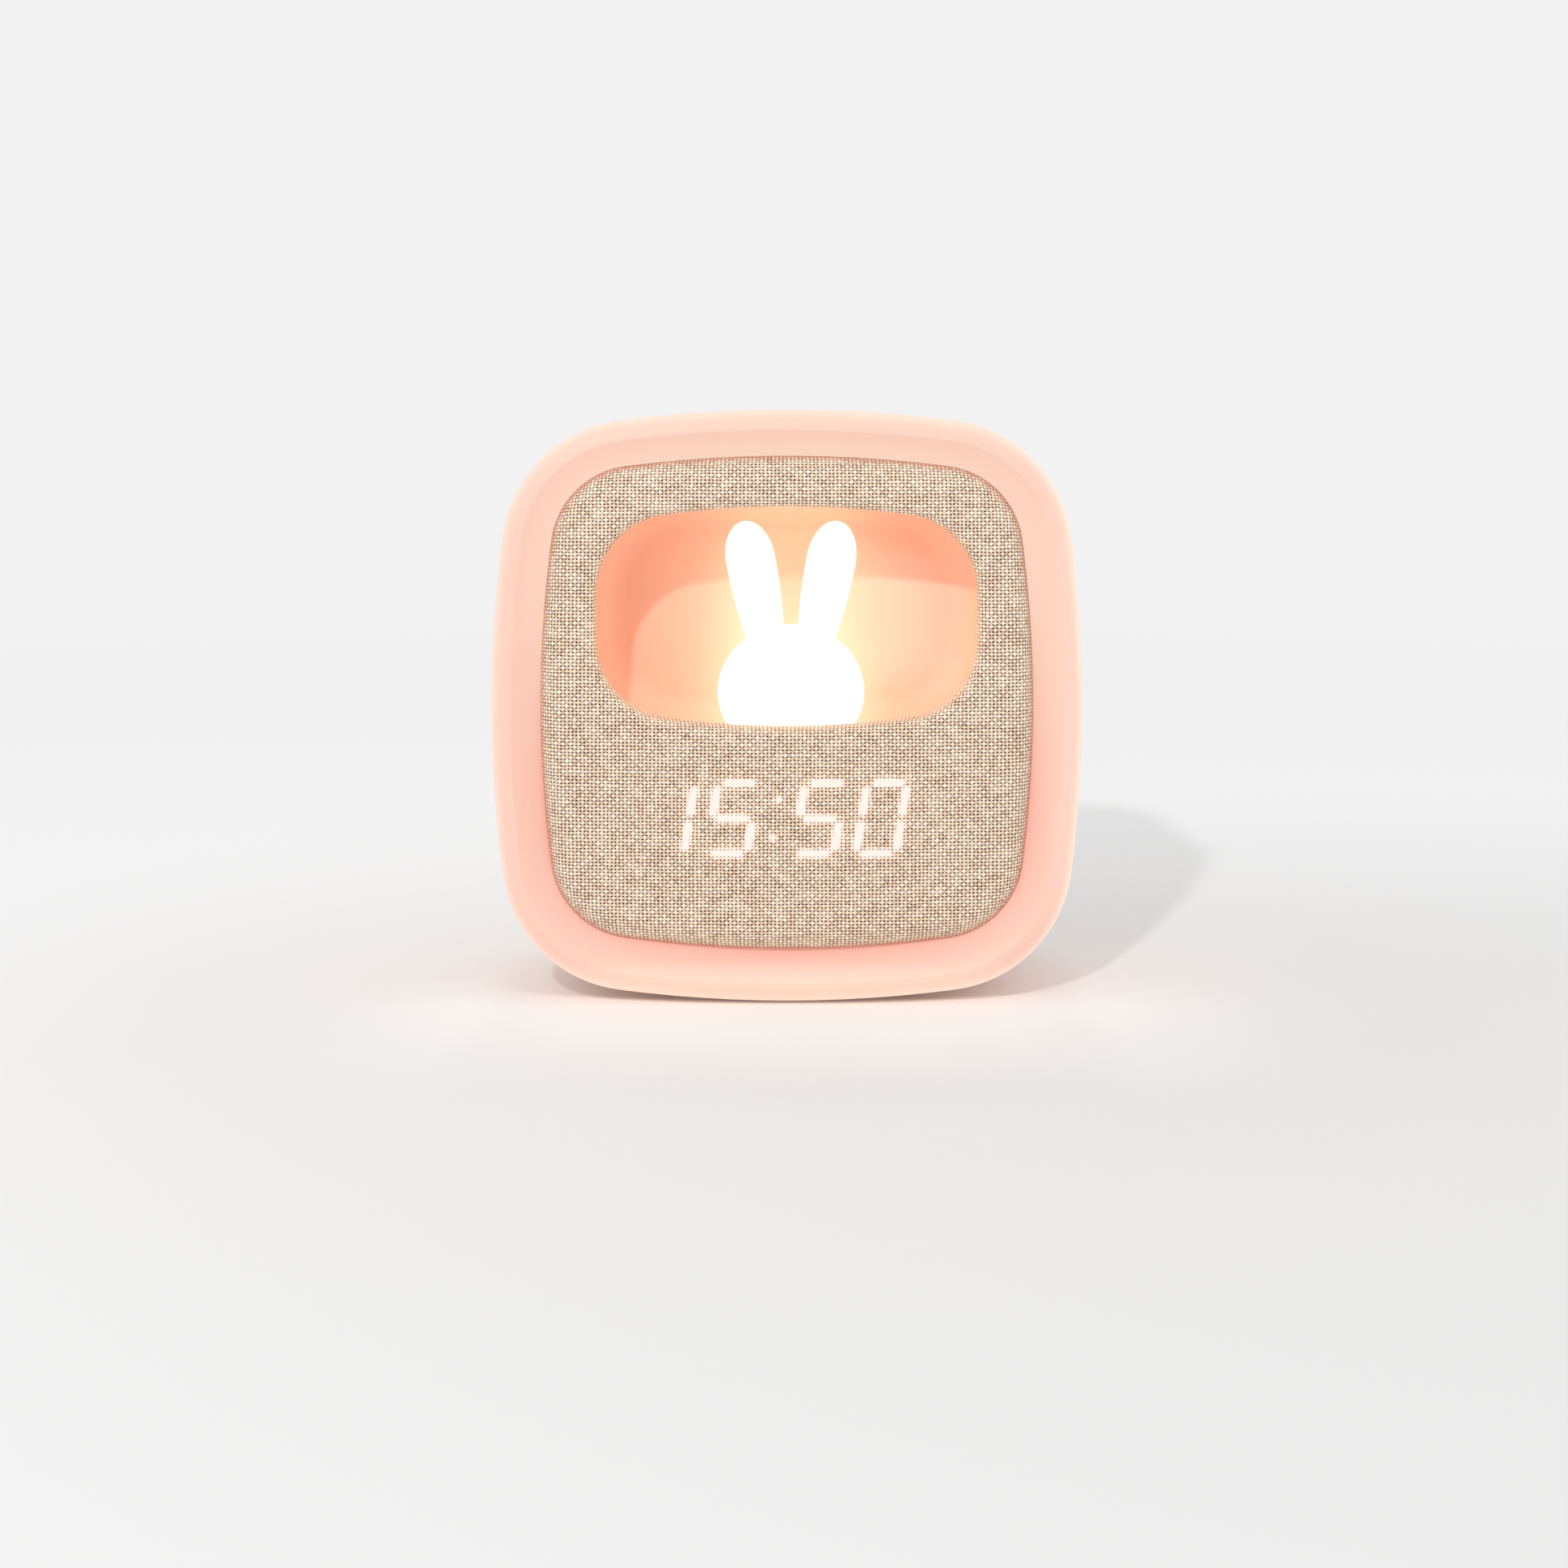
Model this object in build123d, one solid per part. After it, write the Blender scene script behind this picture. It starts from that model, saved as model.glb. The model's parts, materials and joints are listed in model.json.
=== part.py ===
from build123d import *
import os
from math import cos, hypot, pi, radians, sin, sqrt, tan

# Bedside alarm clock with a lit figure in a niche.  Millimetres, +Z up, the front looks along -Y.
# The origin is the centre of the bounding box seen from above, on the table.
# "Depth" is measured backwards from the crown of the front panel, so y = depth - shell_depth / 2.

# ---- housing -------------------------------------------------------------------------------------
shell_width = 120.0  # across the widest part of the ring
shell_height = 120.0
shell_depth = 62.0  # crown of the front panel to the rear face
floor_gap = 0.5  # lowest point of the ring above the table
bow_radius = 262.0  # all four sides bow outwards with this radius
corner_radius = 27.5
wall = 2.2
side_taper = 2.5  # how far the side wall leans in towards the back
rear_edge_radius = 7.0
rear_lip = 0.5  # flat rim between the rounded rear edge and the cover

# ---- front ring ----------------------------------------------------------------------------------
crest_inset = 4.2  # the crest of the ring, in from the silhouette
crest_depth = 5.2
opening_inset = 10.25  # the opening for the front panel, in from the silhouette
panel_rise = 0.85  # the front panel and its opening sit this far above the middle of the ring
dish_depth = 1.6  # the ring dishes in by this much from its crest to the opening
dish_sag = 0.3  # hollow of the dished face
front_seat_width = 3.0
front_seat_depth = 12.5
front_seat_thickness = 2.0

# ---- rear opening and cover ----------------------------------------------------------------------
rear_seat_width = 2.0
rear_seat_thickness = 2.0
cover_thickness = 2.4
cover_gap = 0.3
cover_screw_inset = 20.2  # from the widest part of the ring, both ways
post_diameter = 7.0
post_length = 16.0
post_web = 1.8

# ---- front panel: moulded carrier with a cloth skin ----------------------------------------------
dome_radius = 500.0
edge_roll = 5.0
carrier_wall = 2.2
cloth_thickness = 0.6
cloth_gap = 0.1
cloth_hem_gap = 0.4  # the cloth ends this far in front of the seat
panel_screw_reach = 2.4  # panel screws, in from the edge of the opening
panel_screw_rise = 22.0  # and from the middle of the ring, both ways
panel_tab_diameter = 4.8
panel_boss_diameter = 3.8

# ---- window and niche ----------------------------------------------------------------------------
window_height = 44.4
window_side_border = 11.25  # cloth between the ring and the window, at the sides
window_top_border = 10.2  # and at the top
window_side_radius = 170.0
window_end_radius = 178.0
window_corner_radius = 15.7
window_roll = 1.6  # roll of the carrier edge round the window
niche_side_margin = 2.4  # the niche is wider than its window by this much on each side
niche_top_margin = 2.5
niche_floor_drop = 4.5  # niche floor below the sill
niche_corner_radius = 20.0
niche_wall = 1.3
niche_seat_depth = 7.5
niche_depth = 30.0
niche_back_radius = 7.0
flange_width = 2.2
flange_thickness = 1.5
ear_radius = 2.6
ear_reach = 2.2  # ear screws, out from the outer face of the niche wall
niche_screw_length = 3.0

# ---- figure on its light -------------------------------------------------------------------------
head_width = 30.2
head_height = 27.6
head_depth = 17.0
head_rise = 10.3  # middle of the head above the niche floor
head_wall = 2.0
figure_shift = 0.85  # the figure stands this far right of the middle
figure_depth = 18.5
ear_width = 10.1
ear_tip_length = 8.0  # from the widest place of an ear up to its tip
ear_root_length = 25.0  # and down to where it would end inside the head
ear_rise = 27.3  # widest place of an ear above the middle of the head
ear_spread = 8.35  # and sideways from it
ear_tilt = 10.8
figure_sink = 0.3  # the figure's base is let into the niche floor
neck_diameter = 10.4
neck_length = 2.6
neck_wall = 1.5
figure_play = 0.15
lamp_gap = 5.0  # lamp board below the niche floor
lamp_board_width = 34.0
lamp_board_depth = 8.6
lamp_led_size = 3.0
lamp_led_height = 1.4
lamp_led_circle = 2.6
lamp_led_count = 3
lamp_screw_pitch = 28.0
lamp_post_diameter = 5.0

# ---- display -------------------------------------------------------------------------------------
shown_time = "1550"
digit_height = 14.0  # between the middles of the top and bottom bars
digit_width = 8.0  # between the middles of the left and right bars
bar_width = 1.35
bar_gap = 0.55
digit_pitch = 12.4
colon_pitch = 17.4  # between the digits on either side of the colon
colon_rise = 3.8
colon_dot = 1.6
digit_slant = 9.1
display_shift = -2.2
display_margin_x = 3.6
display_margin_z = 1.5
display_gap = 0.6
display_face_depth = 3.3
display_block_depth = 9.0
display_opening_gap = 0.3
display_led_length = 1.6
display_led_width = 0.8
display_led_height = 0.7
display_led_gap = 0.3
display_post_reach = 3.6
display_post_rise = 6.0
display_post_diameter = 4.4

# ---- boards and screws ---------------------------------------------------------------------------
board_thickness = 1.6
board_margin = 2.6  # board edge beyond its screws
screw_shank = 1.9
screw_head = 3.6
screw_head_height = 1.2
screw_length = 5.0
screw_play = 0.2
screw_socket = 1.6
main_board_gap = 8.0  # main board in front of the rear cover
main_board_top_inset = 16.5
main_board_edge = 2.6  # main board below the middle of the USB socket and the slide switch
main_board_clearance = 1.3
main_board_post_diameter = 5.0
chip_size = 9.0
chip_height = 1.2
chip_chamfer = 0.2
crystal_length = 8.0
crystal_width = 3.2
crystal_height = 2.6
capacitor_diameter = 6.3
capacitor_height = 5.4
capacitor_edge = 0.5
part_spacing = 14.0  # between the larger components on the front of the main board

# ---- rear controls -------------------------------------------------------------------------------
button_names = ("set", "minus", "plus", "alarm", "light")
button_diameter = 8.0
button_pitch = 12.5
button_recess = 0.2
button_play = 0.25
button_flange = 0.9
button_flange_thickness = 1.0
button_flange_gap = 0.3
button_stem_diameter = 4.0
button_edge = 0.6
button_travel = 0.4
button_free_play = 0.05
tact_size = 6.0
tact_height = 3.4
tact_plunger = 3.2
tact_plunger_height = 0.8
control_drop = 9.05  # USB socket and slide switch below the row of buttons
control_inset = 11.0  # and in from the ends of the main board
usb_width = 8.94
usb_height = 3.26
usb_shell_thickness = 0.3
usb_recess = 1.2
usb_play = 0.25
usb_tongue_width = 6.7
usb_tongue_thickness = 0.7
usb_tongue_drop = 0.8
usb_base_height = 2.0
slide_travel = 4.0
slide_body_width = 10.0
slide_body_height = 4.6
slide_body_depth = 4.0
slide_stem_width = 3.0
slide_stem_height = 1.8
slide_stem_engagement = 1.2
slide_pad_width = 6.0
slide_pad_height = 4.6
slide_pad_thickness = 1.0
slide_groove_width = 0.5
slide_groove_depth = 0.3
slide_groove_pitch = 1.5
slide_recess = 1.4
slide_play = 0.3

# ---- speaker -------------------------------------------------------------------------------------
speaker_diameter = 24.0
speaker_depth = 5.4
speaker_throat_border = 1.6  # floor of the basket beyond its magnet
speaker_rim_thickness = 1.0
speaker_sheet = 0.6
speaker_magnet_diameter = 13.0
speaker_magnet_depth = 2.2
speaker_cone_diameter = 20.8
speaker_cone_depth = 1.2  # the cone falls this far from its rim to its cap
speaker_cone_sheet = 0.3
speaker_cap_diameter = 7.6
speaker_play = 0.2
speaker_collar = 1.4
speaker_collar_height = 3.0
speaker_clearance = 1.0  # to the battery bay below
grille_hole = 2.0
grille_pitch = 3.9
grille_rings = 2

# ---- battery bay: three AAA cells ----------------------------------------------------------------
cell_diameter = 10.5
cell_length = 44.5
cell_nub_diameter = 3.8
cell_nub_length = 0.8
cell_names = ("lower", "middle", "upper")
cell_play = 0.3
contact_sheet = 0.4
contact_size = 7.0
contact_spring_length = 5.0
contact_play = 0.05
bay_wall = 1.5
bay_floor_drop = 4.2  # bay wall above the lowest edge of the rear cover
door_lap = 2.2
door_tab = 8.0
door_thickness = 2.0
door_gap = 0.3
door_corner_radius = 4.0
door_ledge_thickness = 1.6
door_boss_diameter = 6.4
door_boss_length = 7.0
door_screw_length = 6.0

# ---- feet ----------------------------------------------------------------------------------------
foot_width = 8.0
foot_length = 36.0
foot_thickness = 1.0
foot_reach = 24.0
foot_start_depth = 16.0
foot_border = 0.8

# ---- values that follow from the ones above ------------------------------------------------------
mid_z = floor_gap + shell_height / 2
panel_z = mid_z + panel_rise
opening_depth = crest_depth + dish_depth
front_seat_back = front_seat_depth + front_seat_thickness
cover_depth = shell_depth - cover_thickness
rear_opening_inset = side_taper + rear_edge_radius + rear_lip
carrier_inset = opening_inset + cloth_gap + cloth_thickness
window_width = shell_width - 2 * (opening_inset + window_side_border)
window_z = panel_z + shell_height / 2 - opening_inset - window_top_border - window_height / 2
sill_z = window_z - window_height / 2
niche_floor_z = sill_z - niche_floor_drop
niche_top_z = window_z + window_height / 2 + niche_top_margin
niche_z = (niche_top_z + niche_floor_z) / 2
niche_half_x = window_width / 2 + niche_side_margin
niche_half_z = (niche_top_z - niche_floor_z) / 2
figure_floor_z = niche_floor_z - figure_sink
head_z = niche_floor_z + head_rise
lamp_board_top = niche_floor_z - niche_wall - lamp_gap
digit_offsets = [
    display_shift - colon_pitch / 2 - digit_pitch,
    display_shift - colon_pitch / 2,
    display_shift + colon_pitch / 2,
    display_shift + colon_pitch / 2 + digit_pitch,
]
display_half_x = colon_pitch / 2 + digit_pitch + digit_width / 2 + display_margin_x
display_half_z = digit_height / 2 + bar_width / 2 + display_margin_z
display_z = niche_floor_z - niche_wall - flange_width - display_gap - display_half_z
display_board_depth = display_face_depth + display_block_depth
main_board_depth = cover_depth - main_board_gap - board_thickness
main_board_rear = cover_depth - main_board_gap
main_board_top = floor_gap + shell_height - main_board_top_inset
post_x = shell_width / 2 - cover_screw_inset
post_z = shell_height / 2 - cover_screw_inset
main_board_half_x = post_x - post_diameter / 2 - main_board_clearance
control_reach = main_board_half_x - control_inset
bay_length = contact_sheet + cell_length + contact_play + contact_spring_length
bay_height = len(cell_names) * (cell_diameter + cell_play)
bay_front = shell_depth - door_thickness - cell_diameter - 2 * cell_play
bay_x = -door_tab / 2
bay_z = floor_gap + rear_opening_inset + cover_gap + bay_floor_drop + bay_wall + bay_height / 2
door_half_x = (bay_length + door_tab) / 2 + door_lap
door_half_z = bay_height / 2 + door_lap
door_screw_x = door_half_x - door_lap - door_tab / 2 + bay_wall / 2
speaker_z = bay_z + door_half_z + speaker_clearance + speaker_collar + speaker_diameter / 2
collar_top = speaker_z + speaker_diameter / 2 + speaker_play + speaker_collar
button_z = (main_board_top + collar_top) / 2  # midway between the speaker and the board's top
control_z = button_z - control_drop
main_board_bottom = control_z - main_board_edge
main_board_height = main_board_top - main_board_bottom
main_board_z = (main_board_top + main_board_bottom) / 2
button_xs = [button_pitch * (i - (len(button_names) - 1) / 2) for i in range(len(button_names))]
slide_rest_x = -control_reach - slide_travel / 2

# Bars of a seven-segment digit: letter, then the two grid points that the bar joins.
grid = {
    "top left": Vector(-digit_width / 2, digit_height / 2),
    "top right": Vector(digit_width / 2, digit_height / 2),
    "left": Vector(-digit_width / 2, 0),
    "right": Vector(digit_width / 2, 0),
    "bottom left": Vector(-digit_width / 2, -digit_height / 2),
    "bottom right": Vector(digit_width / 2, -digit_height / 2),
}
bars = {
    "a": ("top left", "top right"),
    "b": ("top right", "right"),
    "c": ("right", "bottom right"),
    "d": ("bottom left", "bottom right"),
    "e": ("left", "bottom left"),
    "f": ("top left", "left"),
    "g": ("left", "right"),
}
lit_bars = {
    "0": "abcdef",
    "1": "bc",
    "2": "abdeg",
    "3": "abcdg",
    "4": "bcfg",
    "5": "acdfg",
    "6": "acdefg",
    "7": "abc",
    "8": "abcdefg",
    "9": "abcdfg",
}
digit_names = ("hour_tens", "hour_units", "minute_tens", "minute_units")


# ---- helpers -------------------------------------------------------------------------------------
def y_at(depth):
    """Y of a plane that lies this deep behind the crown of the front panel."""
    return depth - shell_depth / 2


def slab(profile, front, back):
    """Solid of a front-view profile (X, Z) between two depths."""
    return extrude(Plane.XZ.offset(-y_at(front)) * profile, amount=front - back)


def disc(x, z, diameter, front, back):
    """Round bar along Y."""
    return slab(Pos(x, z) * Circle(diameter / 2), front, back)


def block(x, z, width, height, front, back):
    """Rectangular block, placed by its middle in the front view."""
    return slab(Pos(x, z) * Rectangle(width, height), front, back)


def turned(points, x, z):
    """Solid turned about an axis along Y at (x, z), from (radius, depth) points."""
    outline = Polyline(*points, close=True)
    turning_plane = Plane(origin=(x, y_at(0), z), x_dir=(1, 0, 0), z_dir=(0, 0, 1))
    return revolve(turning_plane * make_face(outline), Axis((x, 0, z), (0, 1, 0)))


def four_places(half_x, half_z, x, z):
    """Four places about (x, z)."""
    return [(x + sign_x * half_x, z + sign_z * half_z) for sign_x in (-1, 1) for sign_z in (-1, 1)]


def rear_edges(solid):
    return solid.edges().group_by(Axis.Y)[-1]


def group(solids):
    """Several separate solids that make up one node."""
    return Compound(children=list(solids))


def screw(length):
    """Pan-head screw: its head seats on the XY plane from below and its shank points up."""
    head = extrude(Circle(screw_head / 2), -screw_head_height)
    head = fillet(head.edges().sort_by(Axis.Z)[0], screw_head_height / 2)
    socket = extrude(RegularPolygon(screw_socket / 2, 6), screw_head_height / 2)
    head -= Pos(0, 0, -screw_head_height) * socket
    return head + extrude(Circle(screw_shank / 2), length)


def screws_towards(direction, places, seat_depth, length):
    """Screws along Y, at (x, z) places, whose heads seat at one depth."""
    turn = Rot(-90, 0, 0) if direction == "rear" else Rot(90, 0, 0)
    return group(Pos(x, y_at(seat_depth), z) * turn * screw(length) for x, z in places)


def corner_centre(half_x, half_z, side_radius, end_radius, corner):
    """Centre of the corner arc that touches both a bowed side and a bowed end."""
    side_centre = Vector(half_x - side_radius, 0)
    end_centre = Vector(0, half_z - end_radius)
    side_reach = side_radius - corner
    end_reach = end_radius - corner
    span = end_centre - side_centre
    along = (side_reach**2 - end_reach**2 + span.length**2) / (2 * span.length)
    across = sqrt(side_reach**2 - along**2)
    unit = span.normalized()
    return side_centre + unit * along + Vector(-unit.Y, unit.X) * across


def soft_square(half_x, half_z, side_radius, end_radius, corner):
    """Rounded square whose sides bow outwards; each arc runs into the next without a break."""
    centre = corner_centre(half_x, half_z, side_radius, end_radius, corner)
    to_side = (centre - Vector(half_x - side_radius, 0)).normalized()
    to_end = (centre - Vector(0, half_z - end_radius)).normalized()
    start = centre + to_side * corner
    middle = centre + (to_side + to_end).normalized() * corner
    end = centre + to_end * corner
    arcs = []
    for sign_x, sign_z in ((1, 1), (-1, 1), (-1, -1), (1, -1)):
        points = [(p.X * sign_x, p.Y * sign_z) for p in (start, middle, end)]
        arcs.append(ThreePointArc(*points))
    for sign in (1, -1):
        side_x = sign * start.X
        end_z = sign * end.Y
        arcs.append(ThreePointArc((side_x, -start.Y), (sign * half_x, 0), (side_x, start.Y)))
        arcs.append(ThreePointArc((-end.X, end_z), (0, sign * half_z), (end.X, end_z)))
    return make_face(arcs)


def bow_sag(distance):
    """How far a bowed side has fallen back at this distance from its middle."""
    return bow_radius - sqrt(bow_radius**2 - distance**2)


def shell_outline(inset):
    """Outline of the housing, moved in by a constant distance."""
    half_x = shell_width / 2 - inset
    half_z = shell_height / 2 - inset
    bow = bow_radius - inset
    return Pos(0, mid_z) * soft_square(half_x, half_z, bow, bow, corner_radius - inset)


def panel_outline(inset):
    """Outline of the front panel or its opening, measured in from that of the housing."""
    return Pos(0, panel_rise) * shell_outline(inset)


def window_outline(grow):
    """Outline of the window, grown by a constant distance."""
    half_x = window_width / 2 + grow
    half_z = window_height / 2 + grow
    side = window_side_radius + grow
    end = window_end_radius + grow
    return Pos(0, window_z) * soft_square(half_x, half_z, side, end, window_corner_radius + grow)


def niche_outline(grow):
    """Outline of the niche behind the window, grown by a constant distance."""
    half_x = niche_half_x + grow
    half_z = niche_half_z + grow
    side = window_side_radius + grow
    end = window_end_radius + grow
    return Pos(0, niche_z) * soft_square(half_x, half_z, side, end, niche_corner_radius + grow)


# ---- housing -------------------------------------------------------------------------------------
def ring_section():
    """Section of the housing wall, drawn as (inset from the silhouette, depth).

    It reaches inwards as far as the seat of the front panel does where the panel is nearest.
    """
    half_turn = sin(pi / 4)
    crest = (crest_inset, crest_depth)
    widest = (0, crest_depth + crest_inset)
    band_middle = (crest_inset * (1 - half_turn), crest_depth + crest_inset * (1 - half_turn))
    lip = (opening_inset + panel_rise, opening_depth)
    dish_middle = (
        (crest_inset + opening_inset + panel_rise) / 2 - dish_sag,
        (crest_depth + opening_depth) / 2 + dish_sag,
    )
    rear_start = (side_taper, shell_depth - rear_edge_radius)
    rear_middle = (
        side_taper + rear_edge_radius * (1 - half_turn),
        shell_depth - rear_edge_radius * (1 - half_turn),
    )
    rear_end = (side_taper + rear_edge_radius, shell_depth)
    rear_seat_inset = rear_opening_inset + rear_seat_width
    rear_seat_front = cover_depth - rear_seat_thickness
    collar_inset = opening_inset - panel_rise - wall
    seat_reach = opening_inset + panel_rise + front_seat_width
    outside = [
        ThreePointArc(lip, dish_middle, crest),
        ThreePointArc(crest, band_middle, widest),
        Line(widest, rear_start),
        ThreePointArc(rear_start, rear_middle, rear_end),
    ]
    inside = Polyline(
        rear_end,
        (rear_opening_inset, shell_depth),
        (rear_opening_inset, cover_depth),
        (rear_seat_inset, cover_depth),
        (rear_seat_inset, rear_seat_front),
        (side_taper + wall, rear_seat_front - rear_edge_radius / 2),
        (wall, crest_depth + crest_inset),
        (crest_inset, crest_depth + wall),
        (collar_inset, opening_depth + wall),
        (collar_inset, front_seat_back),
        (seat_reach, front_seat_back),
        (seat_reach, opening_depth),
        lip,
    )
    return make_face(outside + list(inside.edges()))


def swept_ring():
    """The ring section carried once round the outline of the housing."""
    path = (Plane.XZ.offset(-y_at(0)) * shell_outline(0)).face().outer_wire()
    start = path @ 0
    backwards = Vector(0, 1, 0)
    inward = (path % 0).cross(backwards)
    if inward.dot(Vector(0, 0, mid_z) - Vector(start.X, 0, start.Z)) < 0:
        inward = -inward
    section_plane = Plane(origin=start, x_dir=inward, z_dir=inward.cross(backwards))
    return sweep(section_plane * ring_section(), path=path)


def corner_posts():
    """Four screw posts for the rear cover, each tied to the housing wall by a web."""
    front = cover_depth - post_length
    back = cover_depth - rear_seat_thickness
    filler = slab(shell_outline(side_taper + wall / 2), front, back)
    pieces = []
    for x, z in four_places(post_x, post_z, 0, 0):
        outward = 45 if x * z > 0 else -45
        reach = hypot(corner_radius, corner_radius)
        web = Rot(0, 0, outward) * Rectangle(reach, post_web)
        middle = 1 + reach / 2 / hypot(x, z)
        pieces.append(disc(x, z + mid_z, post_diameter, front, cover_depth))
        pieces.append(slab(Pos(x * middle, z * middle + mid_z) * web, front, back) & filler)
    return pieces


def panel_screw_places():
    """The front panel is screwed to its seat from behind, on both sides."""
    half_x = shell_width / 2 - bow_sag(panel_screw_rise) - opening_inset - panel_screw_reach
    return four_places(half_x, panel_screw_rise, 0, panel_z)


def foot_outline(grow):
    """Long rounded outline of a foot, in plan."""
    return Rot(0, 0, 90) * SlotOverall(foot_length + 2 * grow, foot_width + 2 * grow)


def foot_places():
    y = y_at(foot_start_depth) + foot_length / 2
    return [Pos(-foot_reach, y), Pos(foot_reach, y)]


def foot_pads():
    """Flat pads that bring the curved bottom of the housing down to the feet."""
    edge_x = foot_reach + foot_width / 2 + foot_border
    top = floor_gap + bow_sag(edge_x) + side_taper + wall / 2
    pad = Pos(0, 0, foot_thickness) * extrude(foot_outline(foot_border), top - foot_thickness)
    return [place * pad for place in foot_places()]


def make_body_shell():
    shell = swept_ring()
    shell -= slab(panel_outline(opening_inset), 0, front_seat_depth)
    shell -= slab(panel_outline(opening_inset + front_seat_width), front_seat_depth, front_seat_back)
    for x, z in panel_screw_places():
        shell += disc(x, z, panel_tab_diameter, front_seat_depth, front_seat_back)
    for piece in corner_posts() + foot_pads():
        shell += piece
    for x, z in four_places(post_x, post_z, 0, mid_z):
        shell -= disc(x, z, screw_shank, cover_depth - screw_length - screw_play, cover_depth)
    for x, z in panel_screw_places():
        shell -= disc(x, z, screw_shank + 2 * screw_play, front_seat_depth, front_seat_back)
    return shell


def make_foot(place):
    return place * extrude(foot_outline(0), foot_thickness)


# ---- front panel ---------------------------------------------------------------------------------
def behind_dome(skin):
    """Everything behind the domed front of the carrier, grown by the thickness of a skin."""
    return Pos(0, y_at(cloth_thickness + dome_radius), panel_z) * Sphere(dome_radius + skin)


def cushion(skin, back):
    """Soft square with a domed front and a rolled edge, grown by the thickness of a skin."""
    solid = slab(panel_outline(carrier_inset - skin), -cloth_thickness, back) & behind_dome(skin)
    front = solid.faces().filter_by(GeomType.SPHERE)[0]
    return fillet(front.edges(), edge_roll + skin)


def panel_form(skin, back):
    """The cushion with its window, whose edge rolls inwards too."""
    opening = slab(window_outline(cloth_thickness - skin), -cloth_thickness, back)
    solid = cushion(skin, back) - opening
    front = solid.faces().filter_by(GeomType.SPHERE)[0]
    return fillet(front.inner_wires()[0].edges(), window_roll + skin)


def niche_screw_places():
    """Ears at the four corners of the niche, just outside its wall."""
    sides = (niche_half_x, niche_half_z, window_side_radius, window_end_radius, niche_corner_radius)
    centre = corner_centre(*sides)
    reach = (niche_corner_radius + niche_wall + ear_reach) * sin(pi / 4)
    return four_places(centre.X + reach, centre.Y + reach, 0, niche_z)


def niche_flange():
    """Flange of the niche with its ears; the carrier has a land of the same outline."""
    outline = niche_outline(niche_wall + flange_width)
    for x, z in niche_screw_places():
        outline += Pos(x, z) * Circle(ear_radius)
    return outline


def display_post_places():
    half_x = display_half_x + display_post_reach
    return four_places(half_x, display_post_rise, display_shift, display_z)


def make_front_carrier():
    cavity = cushion(-carrier_wall, front_seat_depth)
    cavity -= slab(niche_flange(), -cloth_thickness, niche_seat_depth)
    for x, z in display_post_places():
        cavity -= disc(x, z, display_post_diameter, -cloth_thickness, display_board_depth)
    for x, z in panel_screw_places():
        cavity -= disc(x, z, panel_boss_diameter, -cloth_thickness, front_seat_depth)
    carrier = panel_form(0, front_seat_depth) - cavity
    opening_x = 2 * (display_half_x + display_opening_gap)
    opening_z = 2 * (display_half_z + display_opening_gap)
    opening_place = (display_shift, display_z)
    carrier -= block(*opening_place, opening_x, opening_z, -cloth_thickness, display_board_depth)
    for x, z in display_post_places():
        carrier -= disc(x, z, screw_shank, display_board_depth - screw_length, display_board_depth)
    for x, z in panel_screw_places():
        carrier -= disc(x, z, screw_shank, front_seat_depth - screw_length, front_seat_depth)
    for x, z in niche_screw_places():
        carrier -= disc(x, z, screw_shank, niche_seat_depth - niche_screw_length, niche_seat_depth)
    return carrier


def make_fabric_panel():
    back = front_seat_depth - cloth_hem_gap
    cloth = panel_form(cloth_thickness, back) - panel_form(0, front_seat_depth)
    hem = niche_seat_depth - cloth_hem_gap
    return cloth - slab(window_outline(cloth_thickness), hem, back)


# ---- niche and figure ----------------------------------------------------------------------------
def standing(diameter, bottom, top, x=0.0):
    """Upright round bar under or through the niche floor, x away from the figure's axis."""
    bar = extrude(Circle(diameter / 2), top - bottom)
    return Pos(figure_shift + x, y_at(figure_depth), bottom) * bar


def ellipsoid(radius_x, radius_y, radius_z):
    return scale(Sphere(1), by=(radius_x, radius_y, radius_z))


def head_solid(inset):
    head = ellipsoid(head_width / 2 - inset, head_depth / 2 - inset, head_height / 2 - inset)
    return Pos(figure_shift, y_at(figure_depth), head_z) * head


def above(z):
    """Everything of the figure that lies above a level."""
    room = 2 * (head_width + head_height)
    return Pos(figure_shift, y_at(figure_depth), z) * extrude(Rectangle(room, room), room)


def figure_ear(side):
    """One egg-shaped ear: a short round tip over a long tapered root, tilted outwards."""
    half = ear_width / 2
    tip = split(ellipsoid(half, half, ear_tip_length), bisect_by=Plane.XY, keep=Keep.TOP)
    root = split(ellipsoid(half, half, ear_root_length), bisect_by=Plane.XY, keep=Keep.BOTTOM)
    place = Pos(figure_shift + side * ear_spread, y_at(figure_depth), head_z + ear_rise)
    return place * Rot(0, side * ear_tilt, 0) * (tip + root)


def make_figure_light():
    bottom = niche_floor_z - neck_length
    head = head_solid(0) & above(figure_floor_z)
    figure = head + figure_ear(-1) + figure_ear(1) + standing(neck_diameter, bottom, figure_floor_z)
    hollow = head_solid(head_wall) & above(figure_floor_z + head_wall)
    bore = standing(neck_diameter - 2 * neck_wall, bottom, figure_floor_z + head_wall)
    return figure - hollow - bore


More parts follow.
